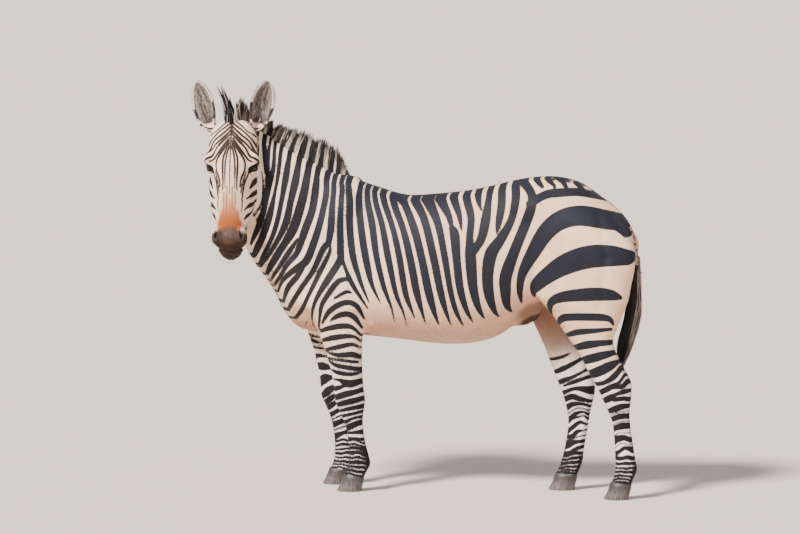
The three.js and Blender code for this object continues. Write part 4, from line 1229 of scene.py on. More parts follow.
class Nodes:
    """Short calls for a material's nodes."""

    def __init__(self, name, roughness, **sockets):
        self.material = bpy.data.materials.new(name)
        self.material.use_nodes = True
        self.tree = self.material.node_tree
        self.shader = self.tree.nodes["Principled BSDF"]
        self.shader.inputs["Roughness"].default_value = roughness
        for key, value in sockets.items():
            self.shader.inputs[key.replace("_", " ")].default_value = value

    def add(self, kind, inputs=(), **settings):
        node = self.tree.nodes.new(kind)
        for key, value in settings.items():
            setattr(node, key, value)
        for key, value in dict(inputs).items():
            if hasattr(value, "links"):
                self.tree.links.new(value, node.inputs[key])
            else:
                node.inputs[key].default_value = value
        return node

    def read(self, name, output="Fac"):
        return self.add("ShaderNodeAttribute", attribute_name=name).outputs[output]

    def noise(self, scale, detail, stretch=(1, 1, 1)):
        place = self.add("ShaderNodeTexCoord").outputs["Object"]
        place = self.add("ShaderNodeMapping", {"Vector": place, "Scale": stretch}).outputs[0]
        inputs = {"Vector": place, "Scale": scale, "Detail": detail}
        return self.add("ShaderNodeTexNoise", inputs).outputs["Fac"]

    def math(self, operation, a, b):
        return self.add("ShaderNodeMath", {0: a, 1: b}, operation=operation).outputs[0]

    def ranged(self, value, low, high, to_low=0.0, to_high=1.0):
        inputs = {"Value": value, "From Min": low, "From Max": high}
        inputs.update({"To Min": to_low, "To Max": to_high})
        return self.add("ShaderNodeMapRange", inputs, interpolation_type="SMOOTHSTEP").outputs[0]

    def mixed(self, share, a, b, blend="MIX"):
        inputs = {0: share, 6: a, 7: b}
        return self.add("ShaderNodeMix", inputs, data_type="RGBA", blend_type=blend).outputs[2]

    def finish(self, color, height, strength, distance):
        """The material with its colour, and with bumps of the given strength and height."""
        self.tree.links.new(color, self.shader.inputs["Base Color"])
        inputs = {"Height": height, "Strength": strength, "Distance": distance}
        bump = self.add("ShaderNodeBump", inputs)
        self.tree.links.new(bump.outputs[0], self.shader.inputs["Normal"])
        return self.material


def coat_material():
    """Pale or dark by the mark on the vertices, with a ragged edge between the two."""
    n = Nodes("coat", 0.62, Specular_IOR_Level=0.2, Sheen_Weight=0.04, Sheen_Roughness=0.5)
    fine, broad = n.noise(620.0, 2.0, (1, 1, 0.45)), n.noise(9.0, 3.0)
    ragged = n.math("ADD", n.read("mark"), n.ranged(fine, 0.3, 0.7, -1.3, 1.3))
    color = n.mixed(n.ranged(ragged, -0.9, 0.9), n.read("pale", "Color"), n.read("dark", "Color"))
    blotch, grain = n.ranged(broad, 0.3, 0.7, 0.93, 1.05), n.ranged(fine, 0.25, 0.75, 0.9, 1.06)
    # The blotches and grain are tone that differs at random; on the tufts, the shade attribute adds
    # painted shade at the roots and painted light at the tips.
    light = n.math("MULTIPLY", n.math("MULTIPLY", blotch, grain), n.read("shade"))
    grey = n.add("ShaderNodeCombineColor", {0: light, 1: light, 2: light}).outputs[0]
    return n.finish(n.mixed(1.0, color, grey, "MULTIPLY"), fine, 0.35, 0.0012)


def tinted(name, roughness, noise, span, shade, bump, **sockets):
    """The tint on the vertices, darkened to a shade by fine noise, and with bumps."""
    n = Nodes(name, roughness, **sockets)
    fine = n.noise(*noise)
    color = n.mixed(n.ranged(fine, *span), n.read("tint", "Color"), (*shade, 1))
    return n.finish(color, fine, *bump)


def hair_material(name, roughness):
    noise, shade = (900.0, 2.0, (1, 1, 0.2)), (0.01, 0.008, 0.008)
    span, bump = (0.3, 0.7, 0.0, 0.3), (0.25, 0.0008)
    return tinted(name, roughness, noise, span, shade, bump, Specular_IOR_Level=0.4)


COAT = coat_material()
skin = mesh_object("skin", points, faces, COAT)
for name, values in zip(("mark", "pale", "dark"), coat_look(points, normals)):
    attribute(skin, name, values)
attribute(skin, "shade", np.full(len(points), 0.97))
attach(skin, "root")
FLESH = ("trunk", "neck", "head", "tail_dock", "ear_left", "ear_right")
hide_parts(*[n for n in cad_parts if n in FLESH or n.startswith("leg_")])

# ------------------------------------------------------------------ the coat's tufts


def lie_of(p, normal):
    """The way the hair lies at some places: back and down, down the legs and down the face."""
    x, _, z = p.T
    way = np.tile([0.86, 0, -0.5], (len(p), 1))
    way = paint(way, np.array([0.5, 0, -0.85]), smooth(-x, 380, 560))
    way = paint(way, np.array([0.12, 0, -1.0]), smooth(-z, -820, -620))
    way = paint(way, np.array([0.75, 0, -0.7]), smooth(x, 560, 800) * smooth(z, 800, 1000))
    head = head_share(p)
    side = np.sign((p - HEAD_POLL) @ HEAD_SIDE)
    face = HEAD_DOWN + 0.25 * HEAD_SIDE * side[:, None] - 0.15 * HEAD_FACE
    way = way + (face - way) * head[:, None]
    s, lateral, _ = to_head(p).T
    ear = (s < -20) & (abs(lateral) > 45) & (x < NECK_X)
    way[ear] = -HEAD_DOWN
    way = way - normal * (way * normal).sum(1)[:, None]
    return unit(way)


def spread_over(points, faces, normals, per_mm2):
    """Random places on the skin with their normals: so many to a square millimetre."""
    a, b, c = (points[faces[:, k]] for k in range(3))
    area = np.linalg.norm(np.cross(b - a, c - a), axis=1) / 2
    expected = np.cumsum(area * per_mm2((a + b + c) / 3))
    count = int(expected[-1])
    pick = np.searchsorted(expected, (np.arange(count) + RNG.random(count)) * expected[-1] / count)
    pick = np.minimum(pick, len(faces) - 1)
    u, v = RNG.random(count), RNG.random(count)
    flip = u + v > 1
    u[flip], v[flip] = 1 - u[flip], 1 - v[flip]
    share = np.stack([1 - u - v, u, v], 1)
    corners = faces[pick]
    place = (points[corners] * share[..., None]).sum(1)
    return place, unit((normals[corners] * share[..., None]).sum(1))


def fineness(p):
    """0 on the body, 1 on the lower legs and 2 on the head."""
    legs = smooth(-p[:, 2], -620, -420)
    return np.maximum(legs, 2 * head_share(p) * (p[:, 0] < NECK_X))


def by_fineness(fine, body, legs, head):
    """A measure that goes from the body's to the lower legs' and on to the head's."""
    on_legs, on_head = np.clip(fine, 0, 1), np.clip(fine - 1, 0, 1)
    return np.where(fine <= 1, mix(body, legs, on_legs), mix(legs, head, on_head))


def tufts_per_mm2(p):
    return by_fineness(fineness(p), 1 / 42, 1 / 17, 1 / 12)


def tufts(name, root, normal, way, length, width, rise, looks, chart):
    """Flat closed slivers: two root corners under the skin, a ridge and a tip."""
    across = np.cross(normal, way)
    under = root - normal * 0.9
    wide = across * (width / 2)[:, None]
    ridge = root + way * (0.4 * length)[:, None] + normal * (0.55 * width * 0.5 + 0.25)[:, None]
    tip = root + way * length[:, None] + normal * rise[:, None]
    corners = np.stack([under - wide, under + wide, ridge, tip], 1).reshape(-1, 3)
    n = len(root)
    shape = np.array([[0, 3, 2], [1, 2, 3], [0, 2, 1], [0, 1, 3]])
    faces = (np.arange(n)[:, None, None] * 4 + shape).reshape(-1, 3)
    ob = mesh_object(name, corners, faces, COAT)
    soft = normal + 0.1 * across * RNG.normal(size=(n, 1)) + 0.08 * way * RNG.normal(size=(n, 1))
    soft = unit(soft)
    ob.data.normals_split_custom_set_from_vertices(np.repeat(soft, 4, 0).astype(np.float32))
    mark, pale, dark, mark_tip = looks
    attribute(ob, "mark", np.stack([mark, mark, mix(mark, mark_tip, 0.4), mark_tip], 1).ravel())
    for key, color in (("pale", pale), ("dark", dark)):
        attribute(ob, key, np.repeat(color, 4, 0))
    shade = RNG.normal(1.0, 0.05, n)
    # Each tuft's tone differs at random. It is also darkened toward its root as painted shade and
    # lightened at its tip as painted light.
    attribute(ob, "shade", np.stack([shade * 0.9, shade * 0.9, shade, shade * 1.05], 1).ravel())
    patch = np.array([[-0.0015, -0.001], [0.0015, -0.001], [0, 0.0002], [0, 0.002]])
    bake_map(ob, (chart[:, None] + patch).reshape(-1, 2), faces)
    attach(ob, "root")


def bake_map(ob, places, faces):
    layer = ob.data.uv_layers.new(name="OFBake")
    layer.uv.foreach_set("vector", places[faces.ravel()].astype(np.float32).ravel())


def chart_of(loft, p):
    """The skin unrolled about a loft: along it and round it, both from 0 to 1."""
    place, u, v, half, reach, _ = loft.locate(p)
    along_ = place / (len(loft.rows) - 1)
    return np.stack([along_, np.arctan2(u / half, v / reach) / (2 * math.pi) + 0.5], 1)


def filled(chart, columns, column):
    """A chart stretched to fill one of the map's columns."""
    low, high = chart.min(0), chart.max(0)
    out = 0.01 + 0.98 * ((chart - low) / np.maximum(high - low, 1e-6))
    out[:, 1] = (out[:, 1] + column) / columns
    return out


root, out = spread_over(points, faces, normals, tufts_per_mm2)
# No tufts grow on the coronets, in the nostrils, between the lids or between the lips.
s, side, depth = to_head(root).T
side, on_head = abs(side), root[:, 0] < HEAD_X
bare = on_head & (nostril_share(s, side, depth) < 1.15) & (s > 470)
distance, outward_, long, high = eye_places(s, side, depth)
bare |= on_head & (distance < 34) & (outward_ > 0) & (almond(long, high) < 1.7)
bare |= on_head & (abs(mouth_line(s, side, depth)) < 4) & (s > 500)
bare |= root[:, 2] < 70
root, out = root[~bare], out[~bare]
fine = fineness(root)
grown = by_fineness(fine, 13.5, 8.5, 6.5)
muzzle = smooth(to_head(root)[:, 0], 470, 500) * (root[:, 0] < HEAD_X)
heel = smooth(out[:, 0], 0.5, 0.9) * smooth(-root[:, 2], -170, -120)
below = smooth(-out[:, 2], 0.3, 0.9) * smooth(root[:, 2], 600, 700)
grown = grown * (1 - 0.45 * muzzle) * (1 + 1.1 * heel + 0.35 * below)
grown = grown * RNG.uniform(0.75, 1.25, len(root))
wide = by_fineness(fine, 3.0, 2.0, 1.6) * RNG.uniform(0.8, 1.2, len(root))
rise = (0.35 + 0.035 * grown) * RNG.uniform(0.4, 1.6, len(root)) + 2.2 * heel + 0.8 * below
way = lie_of(root, out)
turned = np.cross(out, way)
way = unit(way + turned * RNG.normal(0, 0.16, (len(root), 1)))
mark, pale, dark = coat_look(root, out)
mark_tip = coat_look(root + way * grown[:, None], out)[0]
shapes = ("trunk", "neck", "head", "fore_left", "fore_right", "hind_left", "hind_right", "tail")
nearest = np.argmin([LOFTS[name].distance(root) for name in shapes], 0)
nearest[(nearest > 2) & (nearest < 7) & (root[:, 2] > 760)] = 0
nearest[(nearest == 0) & (root[:, 0] > 840)] = 0
PIECES = {
    "coat_shoulder": [("trunk", lambda p: p[:, 0] < -150)],
    "coat_barrel": [("trunk", lambda p: (p[:, 0] >= -150) & (p[:, 0] < 330))],
    "coat_rump": [("trunk", lambda p: p[:, 0] >= 330), ("tail", None)],
    "coat_neck": [("neck", None)],
    "coat_head": [("head", None)],
    "coat_forelegs": [("fore_left", None), ("fore_right", None)],
    "coat_hind_legs": [("hind_left", None), ("hind_right", None)],
}
for name, groups in PIECES.items():
    picks, charts = [], []
    for column, (shape, test) in enumerate(groups):
        mine = nearest == shapes.index(shape)
        if test is not None:
            mine &= test(root)
        mine = np.flatnonzero(mine)
        picks.append(mine)
        charts.append(filled(chart_of(LOFTS[shape], root[mine]), len(groups), column))
    i = np.concatenate(picks)
    looks = mark[i], pale[i], dark[i], mark_tip[i]
    tufts(name, root[i], out[i], way[i], grown[i], wide[i], rise[i], looks, np.concatenate(charts))

# ------------------------------------------------------------------ long hair


def locks(name, path, width, side, colors, chart, material, depth=0.45):
    """Tapering three-sided locks. path is lock, step, place; the last step is the tip."""
    n, steps = path.shape[:2]
    run = unit(path[:, 1:] - path[:, :-1])
    run = np.concatenate([run, run[:, -1:]], 1)
    side = unit(side[:, None] - run * (side[:, None] * run).sum(-1, keepdims=True))
    out = np.cross(run, side)
    w = width[..., None]
    ring = np.stack([path - side * w / 2, path + side * w / 2, path + out * w * depth], 2)[:, :-1]
    body = np.concatenate([ring.reshape(n, -1, 3), path[:, -1:]], 1)
    size = body.shape[1]
    shape = [[0, 1, 2]]
    for step in range(steps - 2):
        for k in range(3):
            a, b = step * 3 + k, step * 3 + (k + 1) % 3
            shape += [[a, a + 3, b], [b, a + 3, b + 3]]
    last = (steps - 2) * 3
    shape += [[last + k, size - 1, last + (k + 1) % 3] for k in range(3)]
    shape = np.array(shape)
    faces = (np.arange(n)[:, None, None] * size + shape).reshape(-1, 3)
    first = body[0][shape]
    volume = (first[:, 0] * np.cross(first[:, 1], first[:, 2])).sum()
    ob = mesh_object(name, body.reshape(-1, 3), faces if volume > 0 else faces[:, ::-1], material)
    tint = np.concatenate([np.repeat(colors[:, :-1], 3, 1), colors[:, -1:]], 1)
    attribute(ob, "tint", tint.reshape(-1, 3))
    t = np.concatenate([np.repeat(np.arange(steps - 1), 3), [steps - 1]]) / (steps - 1)
    lateral = np.concatenate([np.tile([-1, 1, 0], steps - 1), [0]])
    patch = np.stack([lateral * 0.0015, t * 0.003 - 0.0015], 1)
    places = (chart[:, None] + patch[None]).reshape(-1, 2)
    bake_map(ob, places, ob_faces(ob))
    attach(ob, "root")
    return ob


def ob_faces(ob):
    tri = np.empty(len(ob.data.loops), np.int32)
    ob.data.loops.foreach_get("vertex_index", tri)
    return tri.reshape(-1, 3)


def tapered(steps, width, fullness=0.75):
    """Widths along hairs that end in a point."""
    t = np.linspace(0, 1, steps)
    return width[:, None] * (1 - t[None] ** 2) ** fullness


HAIR = hair_material("mane_hair", 0.5)
TAIL_HAIR = hair_material("tail_hair", 0.45)
BLACK, BROWN, STRAW = tone(17, 14, 15), tone(58, 38, 28), tone(228, 204, 184)

MANE = """-376 1366 -384 1396 0 9 0, -396 1372 -404 1452 0 15 0, -430 1386 -430 1500 0 19 0,
-482 1413 -476 1537 0 21 0, -556 1450 -543 1562 -1 22 2, -630 1495 -612 1582 -4 22 6,
-700 1543 -682 1608 -10 22 12, -765 1580 -752 1642 -22 22 26, -818 1596 -808 1684 -48 20 48,
-852 1600 -846 1726 -96 16 74"""


def mane(count=6400, steps=6):
    rows = table(MANE)
    last = len(rows) - 1
    clumps = 120
    middle = np.sort(RNG.uniform(0, last, clumps))
    at = RNG.uniform(0, last, count)
    own = np.argmin(abs(at[:, None] - middle[None] - RNG.normal(0, 0.02, (count, clumps))), 1)
    crest_x, crest_z, tip_x, tip_z, y, half, turn = along(rows, at).T
    turn = np.radians(turn)
    aside = np.stack([-np.sin(turn), np.cos(turn), 0 * turn], 1)
    across = RNG.uniform(-1, 1, count)
    base = np.stack([crest_x, y, crest_z], 1)
    rise = np.stack([tip_x - crest_x, 0 * y, tip_z - crest_z], 1)
    low = base - unit(rise) * 12 + aside * (across * half * 0.85)[:, None]
    tall = RNG.normal(0, 0.1, clumps)[own] + RNG.uniform(0.62, 1.1, count) - 0.1 * across**2
    tip = base + rise * tall[:, None] + aside * (across * 5)[:, None]
    target = along(rows, middle[own])
    gather = 0.8 * np.stack([target[:, 2] - tip_x, 0 * y, target[:, 3] - tip_z], 1)
    tip = tip + gather * smooth(tall, 0.6, 1.0)[:, None]
    tip += RNG.normal(0, 3.5, (count, 3)) * np.array([1.4, 0.5, 0.4])
    t = np.linspace(0, 1, steps)[None, :, None]
    lean = np.array([16.0, 0, 2]) * RNG.uniform(0.2, 1.3, (count, 1))
    path = low[:, None] + (tip - low)[:, None] * t + lean[:, None] * t**2
    root_mark = BODY.at(crest_x + 2 * across, crest_z - 46)
    stripe = smooth(root_mark + RNG.normal(0, 1.5, count), -3, 3)
    pale = STRAW * RNG.uniform(0.75, 1.08, (count, 1))
    color = pale + (BLACK * RNG.uniform(0.7, 1.5, (count, 1)) - pale) * stripe[:, None]
    dark_tip = BLACK + (BROWN - BLACK) * RNG.uniform(0, 0.7, (count, 1))
    t = np.linspace(0, 1, steps)[None, :]
    edge = RNG.beta(1.6, 1.4, (count, 1)) * 0.6 + 0.36
    share = smooth(t, edge, edge + 0.3)[..., None]
    colors = color[:, None] + (dark_tip - color)[:, None] * share
    chart = np.stack([0.01 + 0.98 * at / last, 0.5 + 0.48 * across], 1)
    width = tapered(steps, RNG.uniform(3.4, 5.6, count))
    side = aside * 0.3 + unit(rise * [1, 1, 0] + [1, 0, 0])
    ob = locks("mane_hair", path, width, side, colors, chart, HAIR)
    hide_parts("mane")


def forelock(count=1000, steps=8):
    """Wisps from the brow, most of them leaning to the animal's right, pale ones on its left."""
    base = from_head([6, 0, -38])
    wisps = 16
    lean = np.concatenate([RNG.normal(46, 7, 7), RNG.normal(22, 12, 5), RNG.normal(-24, 8, 4)])
    heights = ((140, 184, 7), (90, 130, 5), (60, 96, 4))
    tall = np.concatenate([RNG.uniform(*numbers) for numbers in heights])
    feet = ((-20, 8, 7), (-14, 18, 5), (8, 26, 4))
    foot = np.concatenate([RNG.uniform(*numbers) for numbers in feet])
    deep = RNG.uniform(-20, 14, wisps)
    own = RNG.integers(0, wisps, count)
    high = tall[own] * RNG.uniform(0.55, 1.04, count) + 14
    t = np.linspace(0, 1, steps)[None]
    spread = RNG.normal(0, 1, (count, 2)) * [8.5, 9.0]
    close = 1 - 0.8 * t
    aside = foot[own][:, None] + spread[:, :1] * close
    aside = aside - lean[own][:, None] * (high[:, None] / 170 * t) ** 1.7
    front = deep[own][:, None] + spread[:, 1:] * close - 10 * t
    place = base + np.array([0, 0, 1]) * (high[:, None] * t - 14)[..., None]
    place = place + HEAD_SIDE * aside[..., None] + HEAD_FACE * front[..., None]
    pale = (own >= 12) & (RNG.random(count) < 0.6) | (RNG.random(count) < 0.05)
    color = BLACK * RNG.uniform(0.7, 1.6, (count, 1))
    color[pale] = STRAW * 0.9
    colors = np.repeat(color[:, None], steps, 1)
    chart = np.stack([(own + RNG.random(count)) / wisps, RNG.random(count)], 1) * 0.96 + 0.02
    width = tapered(steps, RNG.uniform(2.2, 3.8, count), 0.9)
    side = np.tile(HEAD_SIDE, (count, 1)) + RNG.normal(0, 0.3, (count, 3))
    ob = locks("forelock_hair", place, width, side, colors, chart, HAIR)
    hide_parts("forelock")


TAIL_TUFT = """1060 894 940 14, 979 897 942 19, 930 890 946 25, 860 878 948 30, 790 862 942 32,
720 845 928 31, 650 833 908 26, 600 832 884 18, 562 842 862 7, 540 846 858 3"""


def tail(count=3600, steps=8):
    rows = table(TAIL_TUFT)
    start = RNG.uniform(930, 1052, count)
    end = 548 + RNG.beta(1.1, 1.7, count) * 360
    angle, ring = RNG.uniform(0, 2 * math.pi, count), RNG.uniform(0.25, 1, count)
    t = np.linspace(0, 1, steps)
    z = start[:, None] + (np.minimum(end, start - 90) - start)[:, None] * t[None]
    front, back, half = (np.interp(-z, -rows[:, 0], rows[:, k]) for k in (1, 2, 3))
    spread = ring[:, None] * mix(0.75, 1.0, t[None])
    wave = 3.0 * np.sin(z / 38 + angle[:, None] * 2) * t[None]
    x = (front + back) / 2 + np.cos(angle)[:, None] * spread * (back - front) / 2 + wave
    y = np.sin(angle)[:, None] * spread * half + 0.5 * wave
    place = np.stack([x, y, z], -1)
    color = BLACK * RNG.uniform(0.8, 1.7, (count, 1))
    color = paint(color, BROWN, smooth(RNG.random(count), 0.7, 1.2))
    pale = (np.cos(angle) > 0.35) & (RNG.random(count) < 0.5) & (ring > 0.6)
    color[pale] = tone(176, 158, 146)
    colors = np.repeat(color[:, None], steps, 1)
    chart = np.stack([0.01 + 0.98 * angle / (2 * math.pi), 0.01 + 0.98 * (start - 930) / 122], 1)
    width = tapered(steps, RNG.uniform(2.8, 4.6, count), 0.6)
    side = np.stack([-np.sin(angle), np.cos(angle), 0 * angle], 1)
    ob = locks("tail_hair", place, width, side, colors, chart, TAIL_HAIR)
    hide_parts("tail_tuft")


def ear_hair(count=700, steps=5):
    """Pale hair inside the ears, growing from the hollow and its rims toward the tip."""
    parts = []
    for sign in (-1, 1):
        _, rise, facing, across = ear_frame(sign)
        share = RNG.beta(1.3, 1.2, count) * 0.86 + 0.05
        side = RNG.uniform(-1, 1, count)
        side = 0.8 * np.sign(side) * abs(side) ** 0.7
        _, half, cup, opening = ear_rows(share).T
        angle = side * ear_sweep(opening) * 0.97
        start = ear_middle(sign, share) + across * (np.sin(angle) * (half - 5.4))[:, None]
        start = start - facing * (np.cos(angle) * (cup - 5.4))[:, None]
        inward = -across * np.sin(angle)[:, None] + facing * np.cos(angle)[:, None]
        long = RNG.uniform(16, 34, count) * mix(1.15, 0.7, share)
        t = np.linspace(0, 1, steps)[None, :, None]
        path = start[:, None] + rise * (long[:, None, None] * t) * 0.9
        path = path + inward[:, None] * (long[:, None, None] * (0.05 + 0.38 * t**1.4))
        path = path + RNG.normal(0, 2.2, (count, 1, 3)) * t
        rim = smooth(abs(side), 0.52, 0.74)
        grey = tone(118, 104, 98) * RNG.uniform(0.45, 1.5, (count, 1))
        # Painted shade: the hairs are darker toward the middle of the hollow, where it is deepest.
        grey = grey * mix(0.55, 1.15, smooth(abs(side), 0.1, 0.5))[:, None]
        color = grey + (EAR_CREAM * 0.95 - grey) * rim[:, None]
        streak = (RNG.random(count) < 0.22)[:, None]
        color = np.where(streak, EAR_CREAM * 0.85, color)
        chart = np.stack([0.01 + 0.98 * share, (0.25 + 0.23 * side) + (0.5 if sign > 0 else 0)], 1)
        parts.append((path, np.repeat(color[:, None], steps, 1), chart, np.cross(rise, inward)))
        parts.append(ear_fringe(sign, 420, steps))
    path, colors, chart, side = (np.concatenate(v) for v in zip(*parts))
    width = tapered(steps, RNG.uniform(1.4, 2.4, len(path)))
    locks("ear_hair", path, width, side, colors, chart, HAIR)


def ear_fringe(sign, count, steps):
    """Short cream hairs that stand out from an ear's rim, all the way over its tip."""
    _, rise, facing, across = ear_frame(sign)
    share, side = RNG.uniform(0.12, 1.0, count), RNG.choice([-1.0, 1.0], count)
    half, cup, sweep, taper = ear_shape(share)
    angle = side * sweep
    start = ear_middle(sign, share) + across * (np.sin(angle) * (half - 3))[:, None]
    start = start - facing * (np.cos(angle) * (cup - 3))[:, None]
    out = across * np.sign(side)[:, None] * 0.8 * taper[:, None] + rise
    out = unit(out + facing * RNG.uniform(-0.3, 0.3, (count, 1)))
    long = RNG.uniform(8, 15, count)[:, None, None]
    t = np.linspace(0, 1, steps)[None, :, None]
    path = start[:, None] + out[:, None] * long * t + rise * long * 0.3 * t**2
    color = EAR_CREAM * RNG.uniform(0.8, 1.05, (count, 1))
    marked = (share < 0.44) & (RNG.random(count) < 0.8)
    color[marked] = BROWN * 0.6
    column = np.where(side > 0, 0.49, 0.01) + (0.5 if sign > 0 else 0)
    chart = np.stack([0.01 + 0.98 * share, column], 1)
    return path, np.repeat(color[:, None], steps, 1), chart, np.cross(rise, out)


def lashes_and_whiskers(steps=5):
    """Lashes on the upper lids, and single long hairs round the lips and under the eyes."""
    starts, ways, colors, lengths = [], [], [], []
    for sign in (-1, 1):
        mirror = np.array([1, sign, 1])
        for long in np.linspace(-13, 14, 34):
            high = LID_HALF_HEIGHT * max(1 - (abs(long) / LID_HALF_LENGTH) ** 1.7, 0) ** 0.59
            high = high + 0.7 - 0.005 * long**2 + 0.8
            out = EYE_OUT * LID_RADIUS + EYE_LONG * long + EYE_HIGH * high
            starts.append(from_head((EYE + unit(out) * (LID_RADIUS - 0.5)) * mirror))
            way = unit(EYE_OUT * 0.9 + EYE_HIGH * -0.35 + EYE_LONG * long * 0.02)
            ways.append((way * mirror) @ HEAD_AXES)
            colors.append(BLACK)
            lengths.append(RNG.uniform(9, 14))
    place, out = spread_over(points, faces, normals, lambda p: 0.002 * whisker_share(p))
    for p, n in zip(place, out):
        starts.append(p - n)
        ways.append(unit(n + HEAD_DOWN * 0.35 + RNG.normal(0, 0.15, 3)))
        colors.append(BROWN * RNG.uniform(0.5, 1.5))
        lengths.append(RNG.uniform(12, 30))
    starts, ways, colors = np.array(starts), np.array(ways), np.array(colors)
    t = np.linspace(0, 1, steps)[None, :, None]
    long = np.array(lengths)[:, None, None]
    path = starts[:, None] + ways[:, None] * long * t + np.array([0, 0, -0.22]) * long * t**2
    n = len(path)
    chart = np.stack([RNG.random(n), RNG.random(n)], 1) * 0.96 + 0.02
    width = tapered(steps, np.full(n, 0.7), 0.5)
    side = np.cross(ways, [0, 0, 1.0])
    colors = np.repeat(colors[:, None], steps, 1)
    locks("whiskers", path, width, side, colors, chart, HAIR, 0.8)


def whisker_share(p):
    s, _, depth = to_head(p).T
    near = (p[:, 0] < HEAD_X) & (depth > -140)
    return np.where(near, smooth(s, 530, 560), 0)


mane()
forelock()
tail()
ear_hair()
lashes_and_whiskers()

# ------------------------------------------------------------------ eyes and hooves


def eyes():
    """Two glossy balls with a long pupil, the front of each drawn out a little."""
    sockets = {"Specular_IOR_Level": 0.35, "Coat_Weight": 0.3, "Coat_Roughness": 0.05}
    noise, span, shade = (500.0, 2.0), (0.3, 0.7, 0.0, 0.25), (0.01, 0.006, 0.004)
    material = tinted("eye_wet", 0.1, noise, span, shade, (0.02, 0.0003), **sockets)
    for name, sign in (("left", 1), ("right", -1)):
        mirror = np.array([1, sign, 1])
        polar = np.concatenate([np.linspace(0.03, 0.9, 26), np.linspace(1.0, 3.08, 16)])
        around = np.linspace(0, 2 * math.pi, 48, endpoint=False)
        r = EYE_RADIUS - 0.5 + 1.4 * np.exp(-((polar / 0.5) ** 2))
        flat = np.sin(polar)[:, None] * r[:, None]
        long, high = flat * np.cos(around), flat * np.sin(around)
        out = np.repeat((np.cos(polar) * r)[:, None], len(around), 1)
        place = EYE + out[..., None] * EYE_OUT + long[..., None] * EYE_LONG
        place = place + high[..., None] * EYE_HIGH
        rings_, faces_ = closed_rings(from_head(place * mirror), 0 * EYE_OUT)
        pupil = smooth(-np.hypot(long / 6.5, high / 3.4), -1.12, -0.9)
        iris = smooth(-np.hypot(long / 14.5, high / 12), -1.06, -0.92)
        color = np.tile(tone(34, 22, 18), (pupil.size, 1))
        color = paint(color, tone(44, 25, 15), iris.ravel())
        color = paint(color, tone(10, 8, 8), pupil.ravel())
        color = np.concatenate([color, [tone(10, 8, 8), tone(34, 22, 18)]])
        ball = mesh_object(f"eyeball_{name}", rings_, faces_, material)
        attribute(ball, "tint", color)
        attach(ball, "root")
        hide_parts(f"eye_{name}")


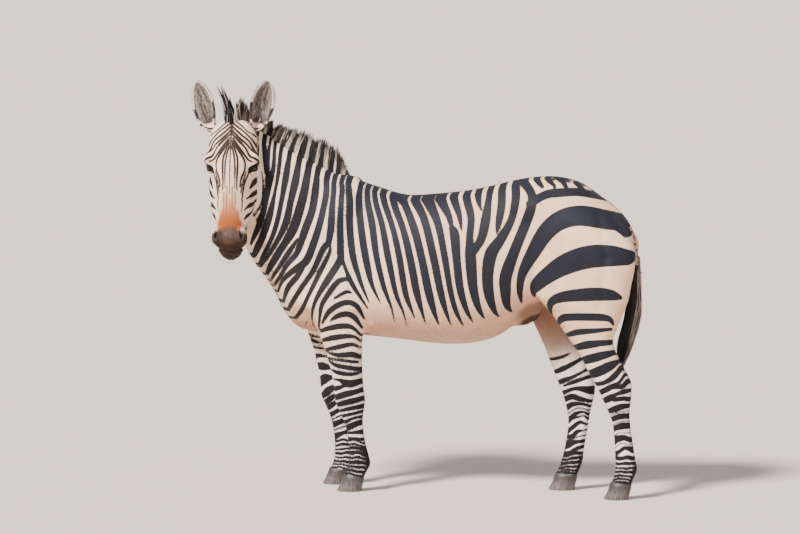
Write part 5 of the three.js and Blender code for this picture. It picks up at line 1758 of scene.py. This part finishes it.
def hooves():
    """Walls of horn round the solids' hooves, with a band at the top and a cleft at the heel."""
    noise, shade = (260.0, 3.0, (1, 1, 0.12)), (0.035, 0.028, 0.026)
    bump = (0.4, 0.0015)
    material = tinted("hoof_horn", 0.5, noise, (0.3, 0.75), shade, bump, Specular_IOR_Level=0.4)
    for name in LEGS:
        rows = LOFTS[name].rows
        top, front, back, y = rows[-1][:4]
        y *= -1 if name.endswith("left") else 1
        above = top + np.array([3, 7, 11])
        z = np.concatenate([[0, 0, 1.5, 3.5, 6], np.linspace(8, top, 20), above])
        # Level, share of the toe's lean, share of the heel's, half width.
        walls = table("0 1 1 49, 6 0.97 0.9 50, 37 0.4 0 46.5, 0 0.1 -0.4 42, 0 0 0.1 36")
        walls[3:, 0] = top, above[-1]
        lean, heel, half = (np.interp(z, walls[:, 0], walls[:, k]) for k in (1, 2, 3))
        inset = np.array([10, 1.6, 0.9, 0.3] + [0] * (len(z) - 4))
        inset = inset + 0.35 * np.cos(z * 1.05) * (z > 8) + np.where(z > top - 3, 0.8, 0)
        from_, to = front - 30 * lean + inset, back - 8 * heel - inset
        reach, half = (to - from_) / 2, half - inset
        angle = np.linspace(0, 2 * math.pi, 56, endpoint=False)
        c, s = np.cos(angle), np.sin(angle)
        share = (abs(c) ** SQUARENESS + abs(s) ** SQUARENESS) ** (-1 / SQUARENESS)
        cleft = 1 - 0.1 * np.exp(-(((angle - math.pi) / 0.28) ** 2)) * smooth(-z, -52, -30)[:, None]
        x = (from_ + to)[:, None] / 2 - reach[:, None] * c * share * cleft
        yy = y + half[:, None] * s * share
        place = np.stack([x, yy, np.repeat(z[:, None], len(angle), 1)], -1)
        rings_, faces_ = closed_rings(place, np.zeros(3))
        rings_[-2:, 2] = [0, z[-1]]
        color = np.tile(tone(112, 102, 98), (len(rings_), 1))
        color = paint(color, tone(70, 62, 60), smooth(rings_[:, 2], 20, 60))
        color = paint(color, tone(140, 124, 112), smooth(-rings_[:, 2], -10, 0))
        ob = mesh_object(f"horn_{name}", rings_, faces_, material)
        attribute(ob, "tint", color)
        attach(ob, "root")
        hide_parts(f"hoof_{name}")


eyes()
hooves()

# ------------------------------------------------------------------ floor, light, camera


FLOOR_SIZE, FLOOR_COLOR = 320, (0.72, 0.63, 0.55, 1)
MIDDLE = (0, 0, 0.8)
CAMERA_PLACE, CAMERA_AIM = (3286, -17602, 2557), (-135, 0, 988.5)
LENS_MM, SENSOR_MM = 183.06, 36


def floor():
    bpy.ops.mesh.primitive_grid_add(x_subdivisions=2, y_subdivisions=2, size=FLOOR_SIZE)
    ground = bpy.context.object
    ground.name = "floor"
    material = Nodes("floor_pale", 0.9, Base_Color=FLOOR_COLOR).material
    ground.data.materials.append(material)


def placed(name, data, place, aim):
    """A light or a camera put in its place and turned toward its aim."""
    ob = bpy.data.objects.new(name, data)
    bpy.context.scene.collection.objects.link(ob)
    ob.location = place
    ob.rotation_euler = (Vector(aim) - Vector(place)).to_track_quat("-Z", "Y").to_euler()
    return ob


def light(name, kind, place, **settings):
    data = bpy.data.lights.new(name, kind)
    for key, value in settings.items():
        setattr(data, key, value)
    placed(name, data, place, MIDDLE)


floor()
light("key", "SUN", (-3.4, -5.0, 7.0), energy=7.8, angle=math.radians(12), color=(1.0, 0.965, 0.92))
light("fill", "AREA", (6, -6, 3), size=6.0, energy=160, color=(0.93, 0.96, 1.0))
world = bpy.data.worlds.new("studio")
world.use_nodes = True
background = world.node_tree.nodes["Background"]
background.inputs["Color"].default_value = (0.95, 0.95, 0.97, 1)
background.inputs["Strength"].default_value = 0.55
bpy.context.scene.world = world

lens = bpy.data.cameras.new("photo_camera")
lens.lens, lens.sensor_width, lens.sensor_fit = LENS_MM, SENSOR_MM, "HORIZONTAL"
lens.clip_end = 200
camera = placed("photo_camera", lens, row(CAMERA_PLACE), row(CAMERA_AIM))
bpy.context.scene.camera = camera
